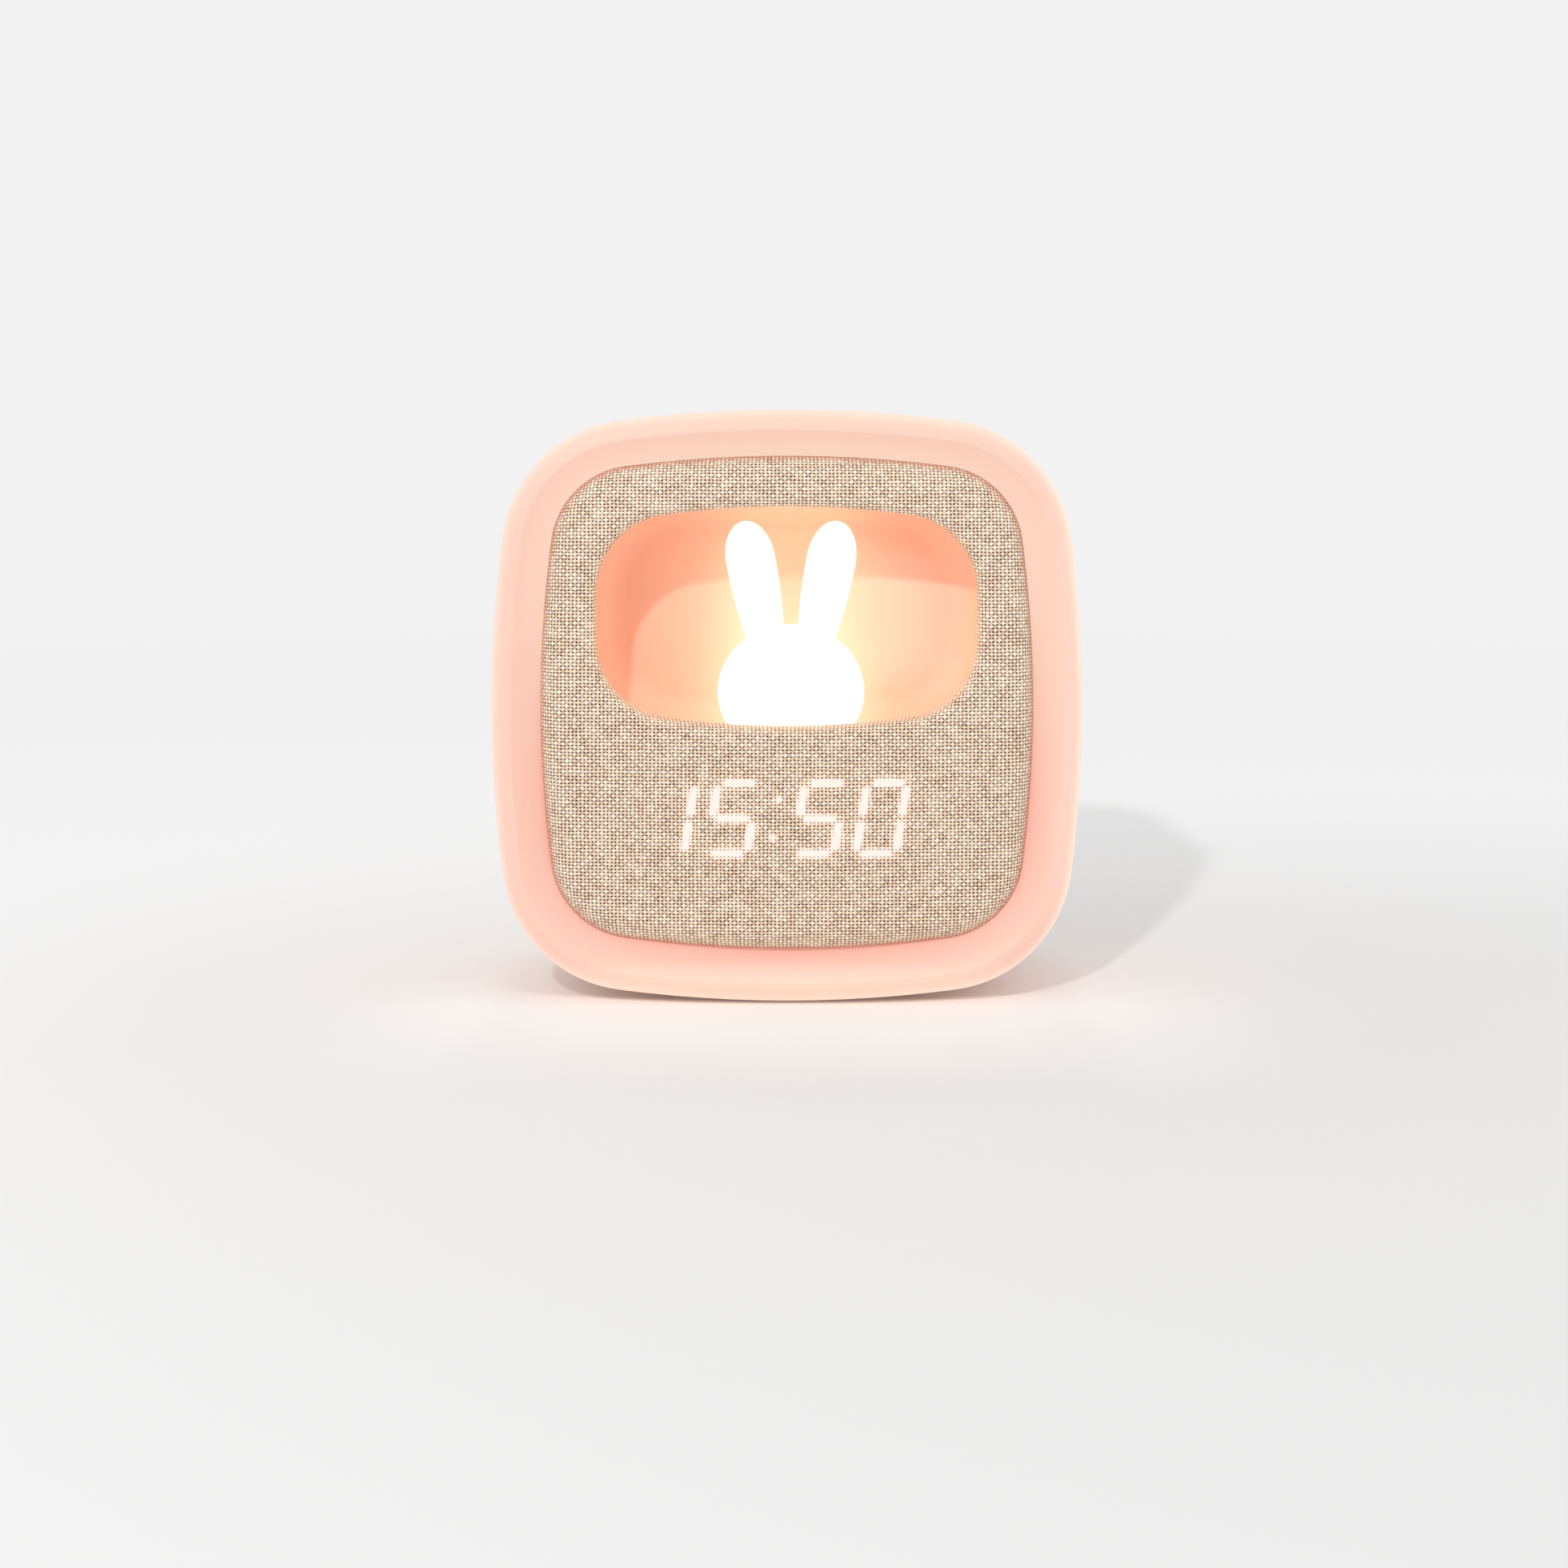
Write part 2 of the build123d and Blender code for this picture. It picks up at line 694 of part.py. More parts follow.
def make_niche_liner():
    back = niche_depth + niche_wall
    bowl = slab(niche_outline(niche_wall), niche_seat_depth, back)
    bowl = fillet(rear_edges(bowl), niche_back_radius + niche_wall)
    bowl += slab(niche_flange(), niche_seat_depth, niche_seat_depth + flange_thickness)
    for x in (-lamp_screw_pitch / 2, lamp_screw_pitch / 2):
        bowl += standing(lamp_post_diameter, lamp_board_top, niche_floor_z, x)
    hollow = slab(niche_outline(0), niche_seat_depth, niche_depth)
    liner = bowl - fillet(rear_edges(hollow), niche_back_radius)
    liner -= head_solid(-figure_play) & above(figure_floor_z)
    liner -= standing(neck_diameter + 2 * figure_play, niche_floor_z - neck_length, niche_floor_z)
    for x, z in niche_screw_places():
        flange_back = niche_seat_depth + flange_thickness
        liner -= disc(x, z, screw_shank + 2 * screw_play, niche_seat_depth, flange_back)
    for x in (-lamp_screw_pitch / 2, lamp_screw_pitch / 2):
        liner -= standing(screw_shank, lamp_board_top, lamp_board_top + lamp_gap, x)
    return liner


def make_lamp_board():
    board = extrude(Rectangle(lamp_board_width, lamp_board_depth), -board_thickness)
    for side in (-1, 1):
        hole = extrude(Circle(screw_shank / 2 + screw_play), -board_thickness)
        board -= Pos(side * lamp_screw_pitch / 2, 0) * hole
    return Pos(figure_shift, y_at(figure_depth), lamp_board_top) * board


def make_lamp_leds():
    led = extrude(Rectangle(lamp_led_size, lamp_led_size), lamp_led_height)
    turns = [Rot(0, 0, 360 * i / lamp_led_count + 90) for i in range(lamp_led_count)]
    middle = Pos(figure_shift, y_at(figure_depth), lamp_board_top)
    return group(middle * turn * Pos(lamp_led_circle, 0, 0) * led for turn in turns)


def make_lamp_screws():
    z = lamp_board_top - board_thickness
    length = board_thickness + lamp_gap - screw_play
    xs = [figure_shift + side * lamp_screw_pitch / 2 for side in (-1, 1)]
    return group(Pos(x, y_at(figure_depth), z) * screw(length) for x in xs)


# ---- display -------------------------------------------------------------------------------------
def slanted(point):
    """Leans a point of a digit over to the right."""
    return (point.X + point.Y * tan(radians(digit_slant)), point.Y)


def bar_outline(letter):
    """Bar with pointed ends between two grid points of a digit."""
    first, last = (grid[name] for name in bars[letter])
    along = (last - first).normalized()
    across = Vector(-along.Y, along.X) * (bar_width / 2)
    tips = [first + along * bar_gap, last - along * bar_gap]
    shoulders = [tips[0] + along * (bar_width / 2), tips[1] - along * (bar_width / 2)]
    ring = [
        tips[0],
        shoulders[0] + across,
        shoulders[1] + across,
        tips[1],
        shoulders[1] - across,
        shoulders[0] - across,
    ]
    return make_face(Polyline(*[slanted(point) for point in ring], close=True))


def bar_middle(letter):
    first, last = (grid[name] for name in bars[letter])
    return slanted((first + last) * 0.5)


def bar_solid(place, letter, front, back):
    return slab(Pos(digit_offsets[place], display_z) * bar_outline(letter), front, back)


def colon_places():
    lean = colon_rise * tan(radians(digit_slant))
    return [(display_shift + side * lean, display_z + side * colon_rise) for side in (-1, 1)]


def make_digit(place):
    back = display_board_depth - display_led_height - display_led_gap
    letters = lit_bars[shown_time[place]]
    return group(bar_solid(place, letter, display_face_depth, back) for letter in letters)


def make_unlit_bars():
    back = display_board_depth - display_led_height - display_led_gap
    solids = []
    for place, figure in enumerate(shown_time):
        for letter in sorted(set(bars) - set(lit_bars[figure])):
            solids.append(bar_solid(place, letter, display_face_depth, back))
    return group(solids)


def make_colon_dots():
    back = display_board_depth - display_led_height - display_led_gap
    return group(disc(x, z, colon_dot, display_face_depth, back) for x, z in colon_places())


def make_display_block():
    size = (2 * display_half_x, 2 * display_half_z)
    body = block(display_shift, display_z, *size, display_face_depth, display_board_depth)
    wells = Sketch()
    for offset in digit_offsets:
        for letter in bars:
            wells += Pos(offset, display_z) * bar_outline(letter)
    for x, z in colon_places():
        wells += Pos(x, z) * Circle(colon_dot / 2)
    return body - slab(wells, display_face_depth, display_board_depth)


def make_display_board():
    half_x = display_half_x + display_post_reach + board_margin
    size = (2 * half_x, 2 * display_half_z)
    back = display_board_depth + board_thickness
    board = block(display_shift, display_z, *size, display_board_depth, back)
    for x, z in display_post_places():
        board -= disc(x, z, screw_shank + 2 * screw_play, display_board_depth, back)
    return board


def make_display_leds():
    front = display_board_depth - display_led_height
    leds = []
    for offset in digit_offsets:
        for letter in bars:
            x, z = bar_middle(letter)
            level = letter in "adg"
            width = display_led_length if level else display_led_width
            height = display_led_width if level else display_led_length
            leds.append(block(offset + x, display_z + z, width, height, front, display_board_depth))
    for x, z in colon_places():
        leds.append(block(x, z, display_led_width, display_led_width, front, display_board_depth))
    return group(leds)


# ---- rear cover ----------------------------------------------------------------------------------
def main_board_screw_places():
    half_z = main_board_height / 2 - board_margin
    return four_places(main_board_half_x - board_margin, half_z, 0, main_board_z)


def door_outline(grow):
    size = (2 * (door_half_x + grow), 2 * (door_half_z + grow))
    return Pos(0, bay_z) * RectangleRounded(*size, door_corner_radius + grow)


def grille_places():
    """Holes on rings about the speaker's axis, six more on each ring."""
    places = [(0, speaker_z)]
    for ring in range(1, grille_rings + 1):
        for step in range(6 * ring):
            angle = 2 * pi * step / (6 * ring)
            x = ring * grille_pitch * cos(angle)
            places.append((x, speaker_z + ring * grille_pitch * sin(angle)))
    return places


def usb_outline(grow):
    return Pos(control_reach, control_z) * SlotOverall(usb_width + 2 * grow, usb_height + 2 * grow)


def rear_cover_bosses():
    """What stands on the inside of the rear cover."""
    ledge_front = cover_depth - door_ledge_thickness
    seat_opening = shell_outline(rear_opening_inset + rear_seat_width + cover_gap)
    bay_size = (bay_length + 2 * bay_wall, bay_height + 2 * bay_wall)
    pieces = [
        slab(door_outline(bay_wall) & seat_opening, ledge_front, cover_depth),
        block(bay_x, bay_z, *bay_size, bay_front - bay_wall, cover_depth),
        disc(door_screw_x, bay_z, door_boss_diameter, ledge_front - door_boss_length, ledge_front),
    ]
    for x, z in main_board_screw_places():
        pieces.append(disc(x, z, main_board_post_diameter, main_board_rear, cover_depth))
    collar_diameter = speaker_diameter + 2 * speaker_play
    collar = Circle(collar_diameter / 2 + speaker_collar) - Circle(collar_diameter / 2)
    collar_front = cover_depth - speaker_collar_height
    pieces.append(slab(Pos(0, speaker_z) * collar, collar_front, cover_depth))
    return pieces


def make_rear_cover():
    cover = slab(shell_outline(rear_opening_inset + cover_gap), cover_depth, shell_depth)
    for piece in rear_cover_bosses():
        cover += piece
    cover -= block(bay_x, bay_z, bay_length, bay_height, bay_front, shell_depth)
    cover -= slab(door_outline(door_gap), shell_depth - door_thickness, shell_depth)
    screw_end = shell_depth - screw_head_height + door_screw_length
    hole = screw_shank + 2 * screw_play
    cover -= disc(door_screw_x, bay_z, hole, cover_depth - door_boss_length, screw_end)
    for x in button_xs:
        cover -= disc(x, button_z, button_diameter + 2 * button_play, cover_depth, shell_depth)
    cover -= slab(usb_outline(usb_play), cover_depth, shell_depth)
    cover -= slide_pocket()
    for x, z in grille_places():
        cover -= disc(x, z, grille_hole, cover_depth, shell_depth)
    for x, z in four_places(post_x, post_z, 0, mid_z):
        cover -= disc(x, z, hole, cover_depth, shell_depth)
        head_seat = shell_depth - screw_head_height
        cover -= disc(x, z, screw_head + 2 * screw_play, head_seat, shell_depth)
    for x, z in main_board_screw_places():
        cover -= disc(x, z, screw_shank, main_board_rear, main_board_rear + screw_length)
    return cover


def slide_pocket():
    """Shallow pocket for the slide's thumb pad, with a slot for its stem."""
    pad_room = slide_travel + 2 * slide_play
    floor = shell_depth - slide_recess
    pad_size = (slide_pad_width + pad_room, slide_pad_height + 2 * slide_play)
    stem_size = (slide_stem_width + pad_room, slide_stem_height + 2 * slide_play)
    pocket = block(-control_reach, control_z, *pad_size, floor, shell_depth)
    return pocket + block(-control_reach, control_z, *stem_size, cover_depth, floor)


def make_battery_door():
    door = slab(door_outline(0), shell_depth - door_thickness, shell_depth)
    seat = shell_depth - screw_head_height
    hole = screw_shank + 2 * screw_play
    door -= disc(door_screw_x, bay_z, screw_head + 2 * screw_play, seat, shell_depth)
    return door - disc(door_screw_x, bay_z, hole, shell_depth - door_thickness, seat)


# ---- batteries and their contacts ----------------------------------------------------------------
def cell_place(index):
    """Middle of a cell and the way its positive end points."""
    z = bay_z + (index - (len(cell_names) - 1) / 2) * (cell_diameter + cell_play)
    direction = 1 if index % 2 else -1
    return direction, z


def cell_depth():
    return bay_front + cell_play + cell_diameter / 2


def plate_side(index):
    """X of the bay wall that carries the flat contact of a cell."""
    direction, _ = cell_place(index)
    return bay_x + direction * bay_length / 2


def make_cell(index):
    direction, z = cell_place(index)
    can_length = cell_length - cell_nub_length
    can = extrude(Circle(cell_diameter / 2), can_length)
    can = fillet(can.edges(), cell_play)
    cell = can + Pos(0, 0, can_length) * extrude(Circle(cell_nub_diameter / 2), cell_nub_length)
    tip_x = plate_side(index) - direction * contact_sheet
    start = Pos(tip_x - direction * cell_length, y_at(cell_depth()), z)
    return start * Rot(0, 90 * direction, 0) * cell


def make_contact_plates():
    plates = []
    middle = cell_depth()
    for index in range(len(cell_names)):
        direction, z = cell_place(index)
        x = plate_side(index) - direction * contact_sheet / 2
        front = middle - contact_size / 2
        plates.append(block(x, z, contact_sheet, contact_size, front, front + contact_size))
    return group(plates)


def bowed_leaf():
    """Leaf spring seen from behind: a flat foot with a strip that bows out along +X."""
    half = contact_size / 2
    root = contact_sheet
    foot = Pos(root / 2, 0) * Rectangle(root, contact_size)
    inner_half = half - contact_sheet
    inner_crest = contact_spring_length - contact_sheet
    strip = [
        ThreePointArc((root, half), (contact_spring_length, 0), (root, -half)),
        Line((root, -half), (root, -inner_half)),
        ThreePointArc((root, -inner_half), (inner_crest, 0), (root, inner_half)),
        Line((root, inner_half), (root, half)),
    ]
    return foot + make_face(strip)


def make_contact_springs():
    springs = []
    middle = cell_depth()
    for index in range(len(cell_names)):
        direction, z = cell_place(index)
        wall_x = plate_side(index) - direction * bay_length
        turn = 0 if direction > 0 else 180
        leaf = Pos(wall_x, z) * Rot(0, 0, turn) * bowed_leaf()
        springs.append(slab(leaf, middle - contact_size / 2, middle + contact_size / 2))
    return group(springs)


# ---- main board and what it carries --------------------------------------------------------------
def make_main_board():
    size = (2 * main_board_half_x, main_board_height)
    board = block(0, main_board_z, *size, main_board_depth, main_board_rear)
    for x, z in main_board_screw_places():
        board -= disc(x, z, screw_shank + 2 * screw_play, main_board_depth, main_board_rear)
    return board


def make_controller_chip():
    chip_front = main_board_depth - chip_height
    chip = block(0, main_board_z, chip_size, chip_size, chip_front, main_board_depth)
    return chamfer(chip.edges().group_by(Axis.Y)[0], chip_chamfer)


def make_crystal_can():
    outline = Rot(0, 0, 90) * SlotOverall(crystal_length, crystal_width)
    place = Pos(-part_spacing, main_board_z)
    return slab(place * outline, main_board_depth - crystal_height, main_board_depth)


def make_supply_capacitor():
    front = main_board_depth - capacitor_height
    can = disc(part_spacing, main_board_z, capacitor_diameter, front, main_board_depth)
    return fillet(can.edges().group_by(Axis.Y)[0], capacitor_edge)


def make_tact_switches():
    switches = []
    top = main_board_rear + tact_height
    for x in button_xs:
        switch = block(x, button_z, tact_size, tact_size, main_board_rear, top)
        switches.append(switch + disc(x, button_z, tact_plunger, top, top + tact_plunger_height))
    return group(switches)


def make_button(x):
    """Push button: a cap in its hole, a flange that keeps it in and a stem above its switch."""
    flange_back = cover_depth - button_flange_gap
    flange_front = flange_back - button_flange_thickness
    switch_top = main_board_rear + tact_height + tact_plunger_height
    stem_front = switch_top + button_travel + button_free_play
    cap = disc(x, button_z, button_diameter, flange_back, shell_depth - button_recess)
    cap = fillet(rear_edges(cap), button_edge)
    flange_diameter = button_diameter + 2 * (button_play + button_flange)
    flange = disc(x, button_z, flange_diameter, flange_front, flange_back)
    return cap + flange + disc(x, button_z, button_stem_diameter, stem_front, flange_front)


def make_usb_shell():
    tube = usb_outline(0) - usb_outline(-usb_shell_thickness)
    return slab(tube, main_board_rear, shell_depth - usb_recess)


def make_usb_tongue():
    base_back = main_board_rear + usb_base_height
    base = slab(usb_outline(-usb_shell_thickness), main_board_rear, base_back)
    size = (usb_tongue_width, usb_tongue_thickness)
    back = shell_depth - usb_recess - usb_tongue_drop
    return base + block(control_reach, control_z, *size, base_back, back)


def make_slide_switch():
    back = main_board_rear + slide_body_depth
    size = (slide_body_width, slide_body_height)
    body = block(-control_reach, control_z, *size, main_board_rear, back)
    slot_width = slide_stem_width + slide_travel + 2 * slide_play
    slot_height = slide_stem_height + 2 * slide_play
    slot_front = back - slide_stem_engagement - slide_play
    return body - block(-control_reach, control_z, slot_width, slot_height, slot_front, back)


def make_slide_knob():
    """Thumb pad of the alarm switch, on a stem that reaches into the switch."""
    stem_front = main_board_rear + slide_body_depth - slide_stem_engagement
    pad_front = shell_depth - slide_recess + slide_play / 2
    pad_back = pad_front + slide_pad_thickness
    stem_size = (slide_stem_width, slide_stem_height)
    stem = block(slide_rest_x, control_z, *stem_size, stem_front, pad_front)
    pad = block(slide_rest_x, control_z, slide_pad_width, slide_pad_height, pad_front, pad_back)
    groove_size = (slide_groove_width, slide_pad_height)
    for step in (-1, 0, 1):
        x = slide_rest_x + step * slide_groove_pitch
        pad -= block(x, control_z, *groove_size, pad_back - slide_groove_depth, pad_back)
    return stem + pad


# ---- speaker -------------------------------------------------------------------------------------
def make_speaker_basket():
    front = cover_depth - speaker_depth + speaker_magnet_depth
    outer = speaker_diameter / 2
    mouth = speaker_cone_diameter / 2
    throat = speaker_magnet_diameter / 2 + speaker_throat_border
    rim_front = cover_depth - speaker_rim_thickness
    points = [
        (0, front),
        (throat, front),
        (outer, rim_front),
        (outer, cover_depth),
        (mouth, cover_depth),
        (mouth, rim_front + speaker_sheet / 2),
        (throat - speaker_sheet, front + speaker_sheet),
        (0, front + speaker_sheet),
    ]
    return turned(points, 0, speaker_z)


def make_speaker_magnet():
    front = cover_depth - speaker_depth
    return disc(0, speaker_z, speaker_magnet_diameter, front, front + speaker_magnet_depth)


def make_speaker_cone():
    mouth = speaker_cone_diameter / 2
    cap = speaker_cap_diameter / 2
    rim_back = cover_depth - speaker_cone_sheet
    valley_back = rim_back - speaker_cone_depth
    points = [
        (0, valley_back),
        (cap, valley_back - speaker_cone_sheet),
        (mouth, rim_back - speaker_cone_sheet),
        (mouth, rim_back),
        (cap, valley_back),
        (0, valley_back + speaker_cone_sheet),
    ]
    return turned(points, 0, speaker_z)


# ---- all screws ----------------------------------------------------------------------------------
def make_screws():
    niche_back = niche_seat_depth + flange_thickness
    niche_length = niche_screw_length + flange_thickness
    display_back = display_board_depth + board_thickness
    head_seat = shell_depth - screw_head_height
    cover_places = four_places(post_x, post_z, 0, mid_z)
    door_place = [(door_screw_x, bay_z)]
    places = {
        "niche_screws": ("front", niche_screw_places(), niche_back, niche_length),
        "panel_screws": ("front", panel_screw_places(), front_seat_back, screw_length),
        "display_screws": ("front", display_post_places(), display_back, screw_length),
        "board_screws": ("rear", main_board_screw_places(), main_board_depth, screw_length),
        "cover_screws": ("front", cover_places, head_seat, screw_length),
        "door_screw": ("front", door_place, head_seat, door_screw_length),
    }
    return {node: screws_towards(*values) for node, values in places.items()}


# ---- all nodes -----------------------------------------------------------------------------------
def make_nodes():
    left_foot, right_foot = foot_places()
    nodes = {
        "body_shell": make_body_shell(),
        "foot_left": make_foot(left_foot),
        "foot_right": make_foot(right_foot),
        "front_carrier": make_front_carrier(),
        "fabric_panel": make_fabric_panel(),
        "niche_liner": make_niche_liner(),
        "figure_light": make_figure_light(),
        "lamp_board": make_lamp_board(),
        "lamp_leds": make_lamp_leds(),
        "lamp_screws": make_lamp_screws(),
        "display_block": make_display_block(),
        "unlit_bars": make_unlit_bars(),
        "colon_dots": make_colon_dots(),
        "display_board": make_display_board(),
        "display_leds": make_display_leds(),
        "rear_cover": make_rear_cover(),
        "battery_door": make_battery_door(),
        "contact_plates": make_contact_plates(),
        "contact_springs": make_contact_springs(),
        "main_board": make_main_board(),
        "controller_chip": make_controller_chip(),
        "crystal_can": make_crystal_can(),
        "supply_capacitor": make_supply_capacitor(),
        "tact_switches": make_tact_switches(),
        "usb_shell": make_usb_shell(),
        "usb_tongue": make_usb_tongue(),
        "alarm_switch": make_slide_switch(),
        "alarm_switch_knob": make_slide_knob(),
        "speaker_basket": make_speaker_basket(),
        "speaker_magnet": make_speaker_magnet(),
        "speaker_cone": make_speaker_cone(),
    }
    for place, name in enumerate(digit_names):
        nodes[name] = make_digit(place)
    for index, name in enumerate(cell_names):
        nodes[f"battery_cell_{name}"] = make_cell(index)
    for name, x in zip(button_names, button_xs):
        nodes[f"button_{name}"] = make_button(x)
    nodes.update(make_screws())
    return nodes


os.makedirs("parts", exist_ok=True)
for node, shape in make_nodes().items():
    export_step(shape, f"parts/{node}.step")
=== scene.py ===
"""Bedside alarm clock with a lit figure: looks, cloth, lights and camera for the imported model.

The cloth, the weave and the display are measured in millimetres, and the rest in metres. The model
faces -Y and stands on z = 0.
"""

import json
from math import atan2, cos, pi, radians, sin, sqrt, tan

import bpy
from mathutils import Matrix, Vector


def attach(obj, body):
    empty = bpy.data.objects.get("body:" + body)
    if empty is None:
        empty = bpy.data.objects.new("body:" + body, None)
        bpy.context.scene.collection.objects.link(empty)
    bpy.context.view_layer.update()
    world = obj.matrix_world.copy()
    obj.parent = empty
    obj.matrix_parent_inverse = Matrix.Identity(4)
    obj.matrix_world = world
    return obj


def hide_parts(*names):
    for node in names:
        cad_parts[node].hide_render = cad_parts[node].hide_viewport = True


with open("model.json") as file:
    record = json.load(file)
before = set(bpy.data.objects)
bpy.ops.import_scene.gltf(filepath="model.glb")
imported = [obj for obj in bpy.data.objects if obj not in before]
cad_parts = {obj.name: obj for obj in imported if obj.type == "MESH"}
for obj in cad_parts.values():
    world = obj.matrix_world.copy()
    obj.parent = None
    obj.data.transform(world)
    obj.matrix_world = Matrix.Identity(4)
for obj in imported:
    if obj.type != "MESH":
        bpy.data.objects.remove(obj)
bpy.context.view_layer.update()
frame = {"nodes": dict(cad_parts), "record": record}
nodes = frame["nodes"]
scene = bpy.context.scene
scene.view_settings.view_transform = "Standard"
MM = 0.001

# Cloth panel, in millimetres, as the model has it. Depths count back from the front plane.
HALF_DEPTH = 31.0
PANEL_Z = 61.35
SHELL_HALF = 60.0
BOW_RADIUS = 262.0
CORNER_RADIUS = 27.5
CLOTH_INSET = 10.3  # edge of the panel inside the housing's outline
CLOTH_ROLL = 5.3  # width of the roll at the ring
RING_LIP = 6.8  # depth of the ring's inner lip, where the cloth goes out of sight
CLOTH_TUCK = (9.0, 12.1)  # depths of the last rows, behind the lip
DOME_RADIUS = 500.6
WINDOW_Z = 78.7
WINDOW_HALF = (38.5, 22.2)
WINDOW_RADII = (170.0, 178.0)
WINDOW_CORNER = 15.7
WINDOW_ROLL = 2.2
WINDOW_TUCK = (7.1, 5.6, 4.2)  # depths of the rows inside the window
OUTLINE_STEPS = (34, 30, 46)  # in half a side, in a corner and in half an end
WINDOW_ROLL_STEPS = 9
FLAT_STEPS = 64
RING_ROLL_STEPS = 12

# Weave: sizes in millimetres, the rest in threads
THREAD_X = 0.78
THREAD_Z = 0.69
THREAD_ARCH = 0.6  # height of a thread's round back
THREAD_WAVE = 0.32  # how far it climbs over and dips under its neighbours
CROSSING = 0.12  # difference in height over which one thread takes over from the other
HOLE = (0.14, 0.40)  # reach of the holes between threads: all dark, and gone
HOLE_TWIST = 0.3  # how far each hole is drawn out along a diagonal
HOLE_DEPTH = 0.6
FRAY = 0.45  # how far loose fibres change the reach of a hole
TIGHTNESS = 0.2  # how far its threads do
FIBRE_LIFT = 0.12
FIBRE_SHADE = (0.35, 0.45)  # noise from which fibres are shaded, and how much
TONE_LIMITS = (0.3, 0.7)  # noise at which a thread has the first and the second of its colours
TONE_DRIFT = 0.22  # how fast the tone of a thread changes along it
WOBBLE = 0.5  # twice the distance that threads stray, in millimetres
RELIEF = 0.12  # depth of the weave, in millimetres
LIP_REACH = (0.62, 1.25)  # share of the roll at the ring at which its shade begins, and is full

# Display, in millimetres. The light through the cloth is painted on it, a little softer than the
# bars behind it.
SHOWN = "1550"
LIT = {"0": "abcdef", "1": "bc", "5": "acdfg"}
DISPLAY_Z = 38.7
DIGIT_X = (-23.5, -10.9, 6.5, 18.9)  # middles of the digits
DIGIT_HALF = (4.0, 7.0)
COLON_X = -2.2
COLON_RISE = 3.8
SLANT = tan(radians(9.1))
BAR_CUT = (1.45, 1.3)  # how far level and upright bars stop short of the digit's corners
BAR_SPREAD = 0.18  # added half width of the upright bars; the level ones have half of it
TOP_BAR_SHIFT = (0.3, 0.15)  # the top bar sits a little to the right of its place, and above it
BAR_EDGE = (1.15, 0.35)  # distance from the middle of a bar at which it's dark, and fully lit
HALO_EDGE = (2.4, 0.6)  # the same for the glow round it
BAR_RAGGED = 0.3  # how far holes in the cloth move that edge

# Lights and camera, in metres
KEY_PLACE = (-0.218, -0.836, 0.568)
KEY_RADIUS = 0.022
KEY_POWER = 11.7
SOFT_BOXES = {  # strength of the light from each direction
    (-1, 0, 0): 1.0,
    (1, 0, 0): 1.27,
    (0, -1, 0): 0.34,
    (0, 1, 0): 0.62,
    (0, 0, 1): 1.02,
}
CAMERA_PLACE = (-0.00058, -0.5266, 0.1155)
CAMERA_LENS = 57.07
CAMERA_SHIFT = -0.2232

# Floor, in metres. Of two numbers, the effect is nil at the first and full at the second.
FLOOR_HALF = 4.0
FLOOR_FADE = (0.45, 1.1)  # how far out it passes into the white background
PAINTED_SHADE_PATCH = (0.14, -0.11)  # middle of the painted shade on the floor, in front at the right
PAINTED_SHADE_REACH = (0.42, 0.10)
CONTACT_SHADOW_X = (0.054, 0.022)  # painted shadow below the housing
CONTACT_SHADOW_BACK = (0.034, 0.020)
UNDER_FRONT = (-0.024, -0.019)  # where the floor goes out of sight below the ring, and the painted shadow below it begins
UNDER_CURVE = 3.2  # how fast that line draws back toward the sides
GLOW_AHEAD = (-0.095, -0.026)  # painted warm light in front of the housing
GLOW_BEHIND = (0.010, -0.030)
GLOW_X = (0.10, 0.02)
COVERED_X = (0.064, 0.044)
SIDE_GLOW = 0.22  # strength of the painted light at its sides, beside that in front
SIDE_GLOW_NEAR = (0.054, 0.066)
SIDE_GLOW_FAR = (0.125, 0.060)
SIDE_GLOW_Y = (-0.110, -0.020, 0.0, 0.045)  # nil, full, full, nil

# Peach plastic, in metres, with the same order of two numbers
NOOK_REACH = 0.007
NOOK_SHUT = (1.0, 0.45)  # share of open room round a point
NOOK_RISE = (0.03, 0.095)  # from the painted shade in the nooks below to the painted light in those above
CLEAR_OF_FLOOR = (0.005, 0.010)
FRONT_HALF = (0.0, -0.015)
EDGE_TURN = (0.98, 0.5)  # how squarely a face looks forward or back
# lower and right rims, which take more painted light
LOW_RIM = (0.010, 0.0045)
RIGHT_RIM = (0.050, 0.0575)

# Niche, in metres. Patches have four numbers across and four up: nil, full, full, nil.
LIT_PATCH = ((0.010, 0.026, 0.031, 0.041), (0.056, 0.070, 0.084, 0.096))  # painted light where the key lamp falls
EAR_SHADE_PATCH = ((-0.011, -0.001, 0.003, 0.013), (0.066, 0.078, 0.084, 0.098))  # painted shade between the ears
NICHE_FRONT = (-0.003, -0.020)  # painted shade at the front edge


# ---- colours ----
def linear(*srgb):
    """Scene-linear colour of an 8-bit display colour."""
    shares = [value / 255 for value in srgb]
    return tuple(s / 12.92 if s <= 0.04045 else ((s + 0.055) / 1.055) ** 2.4 for s in shares)


def rgba(colour):
    return (*colour, 1.0)


BLACK = (0.0, 0.0, 0.0)
BACKGROUND = linear(242, 242, 242)
FLOOR_BRIGHT = (0.85, 0.85, 0.85)
# painted shade, painted shadow below the housing and painted glow of its light on the floor
FLOOR_PAINTED_SHADE = (0.75, 0.75, 0.75)
FLOOR_CONTACT_SHADOW = (0.42, 0.40, 0.41)
FLOOR_GLOW = (0.20, 0.19, 0.175)

PEACH = linear(253, 206, 188)
